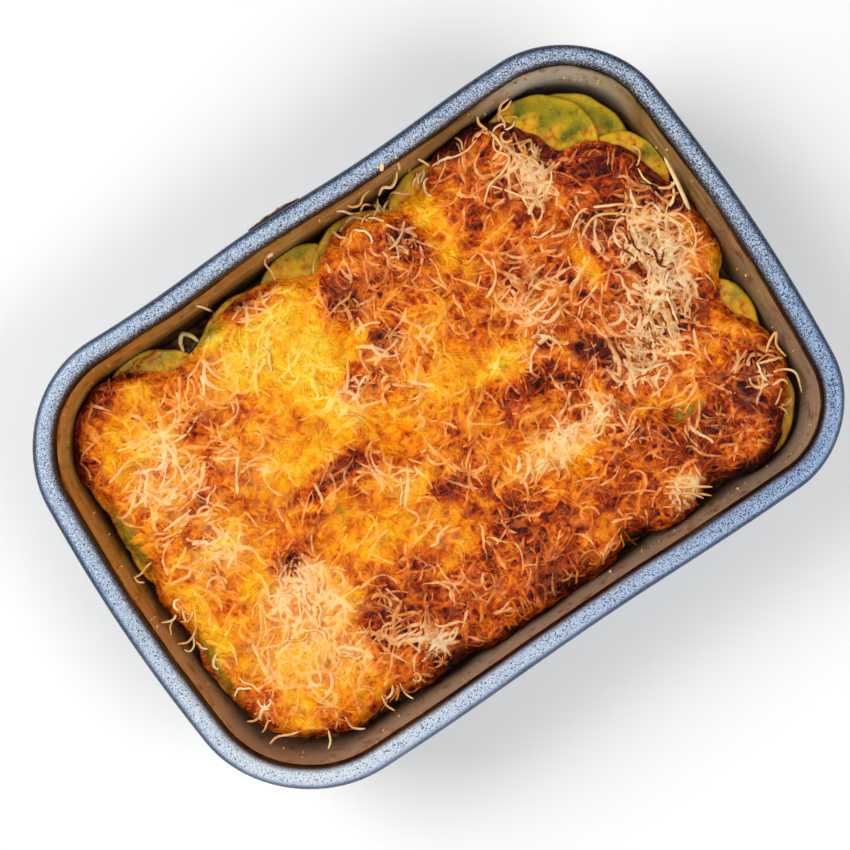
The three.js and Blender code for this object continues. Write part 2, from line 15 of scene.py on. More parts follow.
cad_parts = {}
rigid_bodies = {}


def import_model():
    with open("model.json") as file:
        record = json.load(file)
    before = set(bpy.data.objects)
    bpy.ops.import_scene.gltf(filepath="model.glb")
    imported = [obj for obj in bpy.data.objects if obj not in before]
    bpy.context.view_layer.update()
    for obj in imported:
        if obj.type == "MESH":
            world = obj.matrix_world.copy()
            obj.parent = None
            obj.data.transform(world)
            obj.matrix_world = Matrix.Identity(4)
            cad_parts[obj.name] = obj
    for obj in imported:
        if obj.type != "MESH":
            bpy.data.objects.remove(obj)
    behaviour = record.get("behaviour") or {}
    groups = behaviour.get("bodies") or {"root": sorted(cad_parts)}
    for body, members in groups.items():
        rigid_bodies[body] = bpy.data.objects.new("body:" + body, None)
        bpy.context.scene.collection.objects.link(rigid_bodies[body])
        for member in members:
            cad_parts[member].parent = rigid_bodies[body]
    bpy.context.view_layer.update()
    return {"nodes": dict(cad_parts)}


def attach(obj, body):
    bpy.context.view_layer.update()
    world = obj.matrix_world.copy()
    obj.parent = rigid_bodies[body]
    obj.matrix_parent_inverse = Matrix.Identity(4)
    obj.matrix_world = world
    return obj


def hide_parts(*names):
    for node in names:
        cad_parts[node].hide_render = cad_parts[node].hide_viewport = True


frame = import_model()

MM = 0.001
TAU = 2 * math.pi
print("frame:", len(frame["nodes"]), "nodes")

# %% [markdown]
# ## Helpers for meshes
# The dish, the food and the strands are all closed skins through rows of points. One function
# joins rows of equal length and shuts both ends, and one turns millimetres into a Blender mesh.

# %% Helpers for meshes
def smoothstep(start, end, value):
    t = np.clip((value - start) / (end - start), 0, 1)
    return t * t * (3 - 2 * t)


def rounded_max(a, b, blend):
    """The larger of two values, with a rounded change from one to the other."""
    h = np.maximum(0, blend - np.abs(a - b)) / blend
    return np.maximum(a, b) + h * h * blend * 0.25


def loft(rings):
    """Points and faces of a closed skin through rings of shape (rows, columns, 3)."""
    rows, columns = rings.shape[:2]
    points = [*rings.reshape(-1, 3), rings[0].mean(axis=0), rings[-1].mean(axis=0)]
    here = np.arange(columns)
    after = (here + 1) % columns
    faces = []
    for row in range(rows - 1):
        a, b = row * columns + here, row * columns + after
        faces += np.stack([a, b, b + columns, a + columns], 1).tolist()
    first, last = rows * columns, rows * columns + 1
    top = (rows - 1) * columns
    faces += [[first, j, i] for i, j in zip(here, after)]
    faces += [[last, top + i, top + j] for i, j in zip(here, after)]
    return np.array(points), faces


def set_values(mesh, **values):
    """Gives each point of a mesh one number under each name."""
    for key, numbers in values.items():
        mesh.attributes.new(key, "FLOAT", "POINT").data.foreach_set("value", np.asarray(numbers, dtype=np.float32))


def make_piece(name, points, faces, material=None, **values):
    """A smooth mesh object from millimetres, with values for its points."""
    mesh = bpy.data.meshes.new(name)
    mesh.from_pydata((np.asarray(points) * MM).tolist(), [], faces)
    mesh.shade_smooth()
    set_values(mesh, **values)
    if material:
        mesh.materials.append(material)
    piece = bpy.data.objects.new(name, mesh)
    bpy.context.scene.collection.objects.link(piece)
    print(name, len(mesh.vertices), "points")
    return piece


def keep_evaluated(piece):
    """Makes what the modifiers give the piece's own plain mesh."""
    mesh = bpy.data.meshes.new_from_object(piece.evaluated_get(bpy.context.evaluated_depsgraph_get()))
    piece.modifiers.clear()
    piece.data = mesh


def finish_piece(piece, slot, *nodes):
    """Ties a finished piece to the frame."""
    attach(piece, "root")
    if nodes:
        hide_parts(*nodes)


# %% [markdown]
# ## Helpers for noise and for materials
# Nothing on food is even. Smooth noise on a lattice gives lumps of any size in millimetres, and
# gives the same lumps in each run. Materials are node trees, so one function adds a node.

# %% Helpers for noise and for materials
def noise(x, y, size, seed):
    """Smooth noise from -1 to 1 with lumps about one size across."""
    u, v = x / size + seed * 3.7, y / size - seed * 5.3
    i, j = np.floor(u), np.floor(v)
    fu, fv = smoothstep(0, 1, u - i), smoothstep(0, 1, v - j)

    def lattice(a, b):
        wild = np.sin(a * 127.1 + b * 311.7 + seed * 74.7) * 43758.5
        return 2 * (wild - np.floor(wild)) - 1

    low = lattice(i, j) * (1 - fu) + lattice(i + 1, j) * fu
    high = lattice(i, j + 1) * (1 - fu) + lattice(i + 1, j + 1) * fu
    return low * (1 - fv) + high * fv


def layered_noise(x, y, size, seed, layers=3):
    total = 0
    for layer in range(layers):
        total = total + noise(x, y, size / 2**layer, seed + layer) / 2**layer
    return total


def paint(code):
    """An sRGB hex colour as linear numbers."""
    parts = [int(code[i:i + 2], 16) / 255 for i in (0, 2, 4)]
    return [c / 12.92 if c <= 0.04045 else ((c + 0.055) / 1.055) ** 2.4 for c in parts] + [1]


FAMILIES = ("ShaderNode", "GeometryNode", "FunctionNode", "")


def put(kind, *values, sockets=(), stops=(), **more):
    """Adds a node to the tree at work. A word after a dot is its operation or its data type.

    Values fill its open sockets in order, and None leaves one as it is. A keyword is a setting
    where the node has one of that name, and a socket otherwise. Stops are those of a ramp.
    """
    kind, _, choice = kind.partition(".")
    node = tree.nodes.new(next(first + kind for first in FAMILIES if hasattr(bpy.types, first + kind)))
    if choice:
        setattr(node, "operation" if hasattr(node, "operation") else "data_type", choice)
    given = dict(sockets)
    for key, value in more.items():
        if hasattr(node, key):
            setattr(node, key, value)
        else:
            given[key.replace("_", " ").title()] = value
    pairs = list(zip([socket for socket in node.inputs if socket.enabled], values))
    for socket, value in pairs + [(node.inputs[key], value) for key, value in given.items()]:
        if isinstance(value, bpy.types.Node):
            value = next(output for output in value.outputs if output.enabled)
        if isinstance(value, bpy.types.NodeSocket):
            tree.links.new(value, socket)
        elif value is not None:
            socket.default_value = value
    while len(stops) > len(node.color_ramp.elements if stops else ()):
        node.color_ramp.elements.new(0.5)
    for (position, code), element in zip(stops, node.color_ramp.elements if stops else ()):
        element.position, element.color = position, paint(code)
    return node


def new_material(name):
    """Starts a material. Its tree is the one at work, and place is the point on the piece."""
    global tree
    material = bpy.data.materials.new(name)
    material.use_nodes = True
    tree = material.node_tree
    tree.nodes.clear()
    return material, put("TexCoord").outputs["Object"]


def finish_material(height, depth, colour, roughness, ior, gloss=0.5, sink=None, **more):
    """Ends a material in a surface with relief of a depth in millimetres.

    Sink is how much light sinks in, how far each colour goes, and that scale in millimetres.
    """
    bump = put("Bump", sockets={"Height": height, "Distance": depth * MM})
    sockets = {"Normal": bump, "IOR": ior, "Specular IOR Level": gloss}
    if sink:
        sockets.update(zip(("Subsurface Weight", "Subsurface Radius", "Subsurface Scale"), (*sink[:2], sink[2] * MM)))
    put("OutputMaterial", put("BsdfPrincipled", colour, roughness=roughness, sockets=sockets, **more))
    print("material of", len(tree.nodes), "nodes")


def per(millimetres):
    """How many times a size goes into the metre that a pattern's scale is counted in."""
    return 1 / (millimetres * MM)


# %% [markdown]
# ## Camera, floor and light
# The photograph looks straight down on the dish, which lies turned by 34 degrees. The dish is
# 300 mm long in life, which gives the lens. A large soft light stands behind the dish on the
# left, so that the crust shines on one side of each crag, with a weak fill from the front right.

# %% Camera
CAMERA_HEIGHT = 860
LENS = 85.52
TURN = math.radians(-34)
camera_data = bpy.data.cameras.new("camera")
camera_data.lens = LENS
camera = bpy.data.objects.new("camera", camera_data)
camera.location = (-4.35 * MM, 0.7 * MM, CAMERA_HEIGHT * MM)
camera.rotation_euler = (0, 0, TURN)
bpy.context.scene.collection.objects.link(camera)
bpy.context.scene.camera = camera
bpy.context.scene.view_settings.view_transform = "Standard"
print("camera", CAMERA_HEIGHT, "mm above the floor")

# %% Lights and floor
LIGHTS = [("window", (-0.6, 0.65, 0.8), 0.8, 12.0), ("fill", (0.45, -0.75, 0.85), 0.9, 9.5)]  # place, size and watts
for name, spot, size, watts in LIGHTS:
    lamp = bpy.data.lights.new(name, "AREA")
    lamp.size, lamp.energy = size, watts
    light = bpy.data.objects.new(name, lamp)
    light.location = spot
    light.rotation_euler = Vector(spot).to_track_quat("Z", "Y").to_euler()
    bpy.context.scene.collection.objects.link(light)

world = bpy.data.worlds.new("studio")
world.use_nodes = True
world.node_tree.nodes["Background"].inputs["Color"].default_value = (1, 1, 1, 1)
world.node_tree.nodes["Background"].inputs["Strength"].default_value = 0.25
bpy.context.scene.world = world

# A board under matt white paint, a little uneven in its dullness.
painted_board, place = new_material("painted_board")
dull = put("MapRange", put("TexNoise", place, scale=per(40)), 0, 1, 0.75, 0.85)
board = put("BsdfPrincipled", paint("f8f8f6"), roughness=dull, sockets={"Specular IOR Level": 0.2})
put("OutputMaterial", board)
FLOOR_SIZE = 3000
corners = [[x * FLOOR_SIZE, y * FLOOR_SIZE, 0] for x, y in [(-1, -1), (1, -1), (1, 1), (-1, 1)]]
floor = make_piece("floor", corners, [[0, 1, 2, 3]], painted_board)

# %% [markdown]
# ## The outline of the dish
# The dish is a rounded rectangle with bowed short sides, four unlike corners and long sides
# that waver a little, as a hand-made mould leaves them. Each level of the section is the same
# outline drawn further in, so a function of that inset gives one ring of points.

# %% The outline of the dish
HALF_LENGTH, HALF_WIDTH = 142, 103.4
SIDE_BOW, BOW_SPAN = 8, 220
CORNER_RADII = [41, 46, 48, 37]  # right back, left back, left front, right front
CORNER_SIGNS = [(1, 1), (-1, 1), (-1, -1), (1, -1)]
CORNER_STEPS, LONG_STEPS, SHORT_STEPS = 22, 52, 32
CORNER_EASE = 0.6  # how fast the inner corners tighten below the rim
RIM_WIDTH, RIM_RISE, RIM_BASE = 9.7, 6, 54
WAVER = {1: (0.7, 107, 18), -1: (-0.5, 150, -10)}  # size, length and shift, back and front


def waver(x, y):
    total = 0
    for side, (size, length, shift) in WAVER.items():
        total = total + np.where(np.sign(y) == side, size * np.cos(TAU * (x + shift) / length), 0)
    return total * np.minimum(1, np.abs(y) / HALF_WIDTH)


def bow(y):
    return 1 + SIDE_BOW / HALF_LENGTH * np.cos(np.pi * y / BOW_SPAN)


def corner_radius(corner, inset):
    return CORNER_RADII[corner] - min(inset, RIM_WIDTH) - CORNER_EASE * max(0, inset - RIM_WIDTH)


def on_corner(corner, inset, angle):
    """A place on the arc of a corner."""
    radius = corner_radius(corner, inset)
    sign_x, sign_y = CORNER_SIGNS[corner]
    return [sign_x * (HALF_LENGTH - inset - radius) + radius * math.cos(angle),
            sign_y * (HALF_WIDTH - inset - radius) + radius * math.sin(angle)]


def outline_ring(inset, z):
    """One turn round the dish, inset from the outside of the rim, at one height."""
    ring = []
    for corner in range(4):
        angles = [(corner + step / CORNER_STEPS) * TAU / 4 for step in range(CORNER_STEPS + 1)]
        ring += [on_corner(corner, inset, angle) for angle in angles]
        start, end = ring[-1], on_corner((corner + 1) % 4, inset, angles[-1])
        steps = SHORT_STEPS if corner % 2 else LONG_STEPS
        ring += [[start[k] + (end[k] - start[k]) * step / steps for k in (0, 1)] for step in range(1, steps)]
    x, y = np.array(ring).T
    return np.stack([x * bow(y), y + np.sign(y) * waver(x, y), np.full_like(x, z)], 1)


print("outline of", len(outline_ring(0, 0)), "points")

# %% [markdown]
# ## The glazed dish
# The glaze broke over the rim into pale blue-grey freckles with dark pinholes, pooled navy at
# the outer edge and turns brown-black in a line where the rim turns in. The inside is tan. All
# follow the section, so each point carries its place along it, and one ramp colours the bands.

# %% Section of the dish
RIM_OVERHANG, NECK_Z = 3.6, 48.5
OUTER_DRAFT = INNER_DRAFT = 0.22
FOOT_EDGE, FOOT_RING_WIDTH, FOOT_RECESS = 3, 8, 1.2
FLOOR_Z, FLOOR_FILLET = 7, 10
RIM_SQUARENESS = 2.6
RIM_ROWS, WALL_ROWS, FILLET_ROWS = 26, 12, 8


def inner_inset(z):
    """How far the inner wall stands in from the outside of the rim at a height."""
    top = FLOOR_Z + FLOOR_FILLET
    if z >= top:
        return RIM_WIDTH + INNER_DRAFT * (RIM_BASE - z)
    reach = math.sqrt(max(0, FLOOR_FILLET**2 - (top - z) ** 2))
    return inner_inset(top) + FLOOR_FILLET - reach


def dish_section():
    """Inset, height and place along the glaze, from under the foot to the inner floor."""
    wall_foot = RIM_OVERHANG + OUTER_DRAFT * (NECK_Z - FOOT_EDGE)
    ring_outer = wall_foot + FOOT_EDGE
    ring_inner = ring_outer + FOOT_RING_WIDTH
    rows = [(ring_inner + 2.4, FOOT_RECESS), (ring_inner + 0.6, 0.3), (ring_inner, 0)]
    rows += [(ring_outer + 0.4, 0), (ring_outer, 0.1)]
    rows += [(wall_foot + FOOT_EDGE * (1 - math.sin(a)), FOOT_EDGE * (1 - math.cos(a))) for a in (0.4, 0.8, 1.2)]
    for t in np.linspace(0, 1, WALL_ROWS):
        z = FOOT_EDGE + (NECK_Z - FOOT_EDGE) * t
        rows.append((RIM_OVERHANG + OUTER_DRAFT * (NECK_Z - z), z))
    for t in (0.15, 0.3, 0.45, 0.6, 0.75, 0.9):
        rows.append((RIM_OVERHANG * (1 - t**1.6), NECK_Z + (RIM_BASE - NECK_Z) * t))
    outside = [(inset, z, z - RIM_BASE) for inset, z in rows]
    rim = []
    for angle in np.linspace(0, math.pi, RIM_ROWS):
        across = math.copysign(abs(math.cos(angle)) ** (2 / RIM_SQUARENESS), math.cos(angle))
        inset = RIM_WIDTH / 2 * (1 - across)
        rim.append((inset, RIM_BASE + RIM_RISE * math.sin(angle) ** (2 / RIM_SQUARENESS), inset))
    inside = []
    for z in np.linspace(RIM_BASE - 1.2, FLOOR_Z + FLOOR_FILLET, WALL_ROWS):
        inside.append((inner_inset(z), z, RIM_WIDTH + RIM_BASE - z))
    for angle in np.linspace(0, TAU / 4, FILLET_ROWS)[1:]:
        z = FLOOR_Z + FLOOR_FILLET * (1 - math.sin(angle))
        inside.append((inner_inset(z), z, RIM_WIDTH + RIM_BASE - z))
    return outside + rim + inside


section = dish_section()
print("section of", len(section), "rows")

# %% Stoneware glaze
# Colours along the glaze, in millimetres inwards from the outer edge of the rim. The walls outside come before 0.
GLAZE = [
    (-53, "8a7a68"), (-51, "2b3648"), (-47, "5b6d86"), (-2.5, "50637e"), (-0.3, "364866"), (0.4, "142036"),
    (1.3, "0d1829"), (2, "2c4470"), (2.9, "6f87a8"), (3.9, "8ea4be"), (6.6, "8d9eb5"), (7.5, "6a7088"),
    (8, "453e50"), (8.4, "0c0808"), (9.9, "0c0808"), (10.3, "8a6a44")]
GLAZE_REACH = 60  # millimetres to either side of that edge

# Stoneware under a reactive glaze: glass over clay, dipped and fired, so it is glossy and
# freckled, and thin and dark wherever it ran off an edge.
stoneware_glaze, place = new_material("reactive_stoneware_glaze")
band = put("Attribute", attribute_name="band").outputs["Fac"]
x_place, y_place, _ = put("SeparateXYZ", place).outputs
sideways = put("MapRange", x_place, -0.12, 0.11)
frontward = put("MapRange", y_place, 0.02, -0.09)
# The bands are ragged, and drawn in or out towards the right and the front
ragged = put("Math.MULTIPLY_ADD", put("TexNoise", place, scale=per(1.4), detail=4, roughness=0.7), 0.9, -0.45)
shift = put("Math.MULTIPLY_ADD", put("TexNoise", place, scale=per(28), detail=2), 2, ragged)
shifted = put("Math.ADD", put("Math.ADD", band, shift), -1)
shifted = put("Math.MULTIPLY_ADD", sideways, put("MapRange", band, 3, 6, -0.6, 0.4), shifted)
shifted = put("Math.MULTIPLY_ADD", frontward, put("MapRange", band, 3, 6, 0.8, -0.6), shifted)
stops = [((at + GLAZE_REACH) / (2 * GLAZE_REACH), code) for at, code in GLAZE]
glazed = put("ValToRGB", put("MapRange", shifted, -GLAZE_REACH, GLAZE_REACH), stops=stops)
# Freckles lie on the rim alone, and hardly at its edge
from_edge = put("Math.ABSOLUTE", put("Math.ADD", band, -0.8))
on_rim = put("Math.MULTIPLY", put("MapRange", from_edge, 0.8, 2.6, 0.15), put("MapRange", band, -6, 1, 0.4))
on_rim = put("Math.MULTIPLY", on_rim, put("MapRange", band, 9, 7))
speckle = put("TexNoise", place, scale=per(0.5), detail=2, roughness=0.7)
pale = put("Math.MULTIPLY", put("MapRange", speckle, 0.5, 0.58, 0, 0.7), on_rim)
# Painted highlight along the front of the rim, pale to the left and bluer to the right
front_rim_highlight = put("Math.MULTIPLY", put("Math.MULTIPLY", on_rim, frontward), 0.45)
front_highlight_colour = put("Mix.RGBA", sideways, paint("f4f8fa"), paint("5f8cc8"))
dark_grain = put("TexNoise", place, scale=per(0.72), detail=1, distortion=0.4)
dark_grain = put("MapRange", put("Math.MULTIPLY_ADD", sideways, -0.07, dark_grain), 0.42, 0.33, 0, 0.85)
pinholes = put("MapRange", put("TexVoronoi", place, scale=per(2.8)).outputs["Distance"], 0.15, 0.09)
dark = put("Math.MULTIPLY", put("Math.MAXIMUM", dark_grain, pinholes), on_rim)
for amount, colour in [(pale, paint("eef6fc")), (front_rim_highlight, front_highlight_colour), (dark, paint("16233f"))]:
    glazed = put("Mix.RGBA", amount, glazed, colour)
# Inside it is tan, with layers over it
streaks = put("TexNoise", put("Mapping", place, scale=(1, 1, 6)), scale=per(14), detail=5)
from_corner = put("VectorMath.DISTANCE", place, (0.114, 0.084, 0.046)).outputs["Value"]
stains = put("TexNoise", place, scale=per(5), detail=5, roughness=0.65)
# How strongly the painted shade in the ditch falls, more towards the back
backward = put("MapRange", y_place, 0, 0.08, 0.3, 0.85)
inner = put("Mix.RGBA", sideways, paint("bc7828"), paint("866338"))
for amount, code in [
        (put("MapRange", streaks, 0.4, 0.75, 0, 0.4), "dcbc80"),  # pale streaks
        (put("Math.MULTIPLY", frontward, 0.7), "a68e7c"),  # the front, grey with the window's light
        (put("MapRange", from_corner, 0.036, 0.012, 0, 0.8), "d6ccbc"),  # painted reflection, the back right corner of the wall made pale
        (put("MapRange", stains, 0.54, 0.68, 0, 0.75), "783408"),  # baked-on stains
        (put("MapRange", shifted, 15, 23, 0, 0.2), "4a2d14"),  # painted shade, darker low on the wall near the food
        (put("Math.MULTIPLY", put("MapRange", shifted, 20, 27), backward), "1c1005")]:  # painted shade where the wall meets the food, darkest at the back
    inner = put("Mix.RGBA", amount, inner, paint(code))
glazed = put("Mix.RGBA", put("MapRange", shifted, 9.7, 10.1), glazed, inner)
finish_material(speckle, 0.04, glazed, 0.28, 1.5, gloss=put("MapRange", from_edge, 1.2, 2.6, 0.12, 0.4))

# %% Build the dish
rings = np.array([outline_ring(inset, z) for inset, z, _ in section])
around = rings[..., 0], rings[..., 1]
on_the_rim = smoothstep(NECK_Z, RIM_BASE + 2, rings[..., 2])
rings[..., 2] += on_the_rim * 0.22 * noise(*around, 34, 3) - on_the_rim * 0.12
points, faces = loft(rings)
bands = np.repeat([row[2] for row in section], rings.shape[1]).tolist() + [section[0][2], section[-1][2]]
dish = make_piece("dish", points, faces, stoneware_glaze, band=bands)
finish_piece(dish, "glazed_stoneware", "stoneware_dish")

# %% [markdown]
# ## How high the food lies
# The cheese drapes a layer of round potato slices, so its top is a row of low domes that run
# into each other, and its outline is lobed where the outermost slices end. The same few rows of
# numbers give the height at any place, the outline and the slices that stay bare at the wall.

# %% Levels of the food
GAP, WALL_GAP = 0.3, 0.4
FILLING_TOP, FILLING_DITCH, DITCH_WIDTH = 34.5, 5, 7
TOPPING_BASE, TOPPING_CROWN = 42.6, 2.4
EDGE_DROP, EDGE_REACH = 3.4, 5
SLICE_CROWN, SLICE_SHOULDER, SLICE_FALL = 1.3, 1.5, 0.55
DRAPE_BLEND, OUTLINE_BLEND = 1.1, 9
# x, y, radius and lift of each draped slice
DRAPED_SLICES = [
    (-104, 60, 28, 1.2), (-106, 30, 27, 0.4), (-107, 0, 26.5, 1.1), (-106, -32, 27, 0.2), (-103, -52, 27, 0.8),
    (-92, -59, 27, 0.3), (-74, 51, 25, 1.5), (-76, 12, 26, 0.6), (-46, 55, 28.5, 0.2), (-30, 62, 23, 0.1),
    (-38, 24, 26, 0.3), (-46, -26, 35, 2.6), (-58, -63, 25, 1.3), (14, 60, 25.5, 2.2), (8, 22, 28, 1.4),
    (-28, -64, 25.5, 0.9), (-4, -64, 25.5, 1.6), (20, -64.5, 25, 1.1), (6, -24, 27, 1.3), (44, 56, 24, -0.6),
    (72, 66, 26, 2.3), (46, 22, 27, 1.2), (43, -20, 26, 1.0), (60, -66, 24, 1.5), (84, 26, 27, 1.0),
    (80, -22, 27, 1.3), (104, 36, 25, 1.0), (114, 12, 24, 2.1), (112, 2, 24, 1.2), (98, -28, 26, 0.7),
    (110, -52, 23, 1.9), (98, -67, 22, 1.0)]
# x, y, radius and height of blisters that rose and browned
BLISTERS = [
    (-105, 84, 8, 1.4), (-122, 66, 9, 1.2), (-5, 56, 10, 1.6), (33, 62, 9, 1.2), (0, 40, 8, 1.4), (-76, -12, 9, 1.2),
    (-84, 56, 8, 1.1), (-107, 13, 8, 0.9), (-61, -56, 11, 1.4), (40, -11, 12, 1.3), (66, -10, 7, 1.2),
    (92, -63, 10, 1.6), (113, -50, 11, 1.5), (76, 88, 9, 1.3), (121, 42, 10, 1.2), (-38, 6, 12, 1.2),
    (88, 70, 8, 1.3), (-12, -22, 9, 1.2), (8, -46, 9, 1.1)]
# x, y, length, width, turn and depth of dimples where a slice peeks out
DIMPLES = [(85, -53, 7, 4.2, 0, 2.2), (35.5, 3, 3.2, 1.5, 1.1, 1.6), (-51, -10, 3.4, 2.6, 0.6, 1.5)]
# Direction, wavelength and height of the uneven bumps
BUMPS = [(0.35, 41, 0.7), (1.62, 33, 0.65), (2.71, 24, 0.5), (0.92, 19, 0.42), (2.15, 15.5, 0.36), (1.21, 13, 0.3)]
SLICE_THICKNESS = 3.4
# x, y, radius, level of the underside and curl of each slice that stays bare at the wall
BARE_SLICES = [
    (94, 63.5, 26.5, 38.3, 0.5), (114, 37, 22.5, 38.1, 0.4), (105, 58.5, 26.5, 34.8, 0.7),
    (-89, 64.5, 25.5, 34.9, 0.6), (-43, 61.5, 27, 35.1, 0.7), (-14, 67.5, 23.5, 34.8, 0.3), (14, 64.5, 25.5, 35, 0.5),
    (49, 69, 21, 34.9, 0.6), (110, -30.5, 24, 35, 0.6), (106, -63, 24.5, 34.9, 0.5), (-108, 18, 26, 35, 0.6),
    (-107, 52, 26, 34.8, 0.5), (-106, -36, 27, 34.9, 0.5)]
print(len(DRAPED_SLICES), "draped slices and", len(BARE_SLICES), "bare ones")

# %% Heights of the food
def wall_distance(x, y):
    """Rough distance to the inner wall at the level of the food."""
    inset = inner_inset(FILLING_TOP)
    right, back = x > 0, y > 0
    radii = [corner_radius(corner, inset) for corner in range(4)]
    radius = np.select([right & back, ~right & back, ~right & ~back], radii[:3], radii[3])
    over_x = np.abs(x) / bow(y) - (HALF_LENGTH - inset - radius)
    over_y = np.abs(y) - waver(x, y) - (HALF_WIDTH - inset - radius)
    outside = np.hypot(np.maximum(0, over_x), np.maximum(0, over_y))
    return radius - outside - np.minimum(0, np.maximum(over_x, over_y))


def edge_distance(x, y):
    """Distance to the lobed edge of the topping, negative inside it."""
    nearest = -1e3
    for slice_x, slice_y, radius, _ in DRAPED_SLICES:
        nearest = rounded_max(nearest, radius - np.hypot(x - slice_x, y - slice_y), OUTLINE_BLEND)
    return 0.7 * layered_noise(x, y, 6.5, 131) - nearest


def draped(x, y):
    top = -1.5
    for slice_x, slice_y, radius, lift in DRAPED_SLICES:
        reach = np.hypot(x - slice_x, y - slice_y)
        crown = np.maximum(-1, SLICE_CROWN * (1 - (reach / radius) ** 2))
        top = rounded_max(top, lift + crown - SLICE_FALL * np.maximum(0, reach - radius + SLICE_SHOULDER), DRAPE_BLEND)
    return top


def relief(x, y):
    """Bumps, blisters and dimples."""
    total = 0
    for index, (direction, wavelength, size) in enumerate(BUMPS):
        along_it = x * math.cos(direction) + y * math.sin(direction)
        across = y * math.cos(direction) - x * math.sin(direction)
        bend = 1.6 * np.sin(TAU * across / (wavelength * 2.3) + index)
        total = total + size * np.sin(TAU * along_it / wavelength + bend + index * 1.9)
    for blister_x, blister_y, radius, size in BLISTERS:
        total = total + size * np.exp(-2.2 * (np.hypot(x - blister_x, y - blister_y) / radius) ** 2)
    for dimple_x, dimple_y, length, width, turn, depth in DIMPLES:
        along_it = (x - dimple_x) * math.cos(turn) + (y - dimple_y) * math.sin(turn)
        across = (y - dimple_y) * math.cos(turn) - (x - dimple_x) * math.sin(turn)
        total = total - depth * np.exp(-(((along_it / length) ** 2 + (across / width) ** 2) ** 2))
    return total


def slice_support(x, y):
    """The level just above the bare slices and the filling, which the topping lies on."""
    level = np.full_like(x, FILLING_TOP + GAP)
    for slice_x, slice_y, radius, bottom, curl in BARE_SLICES:
        beyond = np.maximum(0, np.hypot(x - slice_x, y - slice_y) - radius - 0.5)
        turn = np.arctan2(y - slice_y, x - slice_x)
        top = bottom + SLICE_THICKNESS + curl * (1 + np.cos(2 * turn + slice_x)) + GAP
        level = np.maximum(level, top - 1.3 * beyond)
    return level


print("height in the middle:", round(float(TOPPING_BASE + draped(0.0, 0.0) + relief(0.0, 0.0)), 1), "mm")

# %% [markdown]
# ## Where the cheese browned
# Under a grill the crests brown first and the hollows stay yellow. The patches below are ovals
# with a soft, ragged edge: a positive amount browns a place and a negative one keeps it yellow.
# The camera sees the food through the rim's plane, 18 mm above it, so places spread a little.

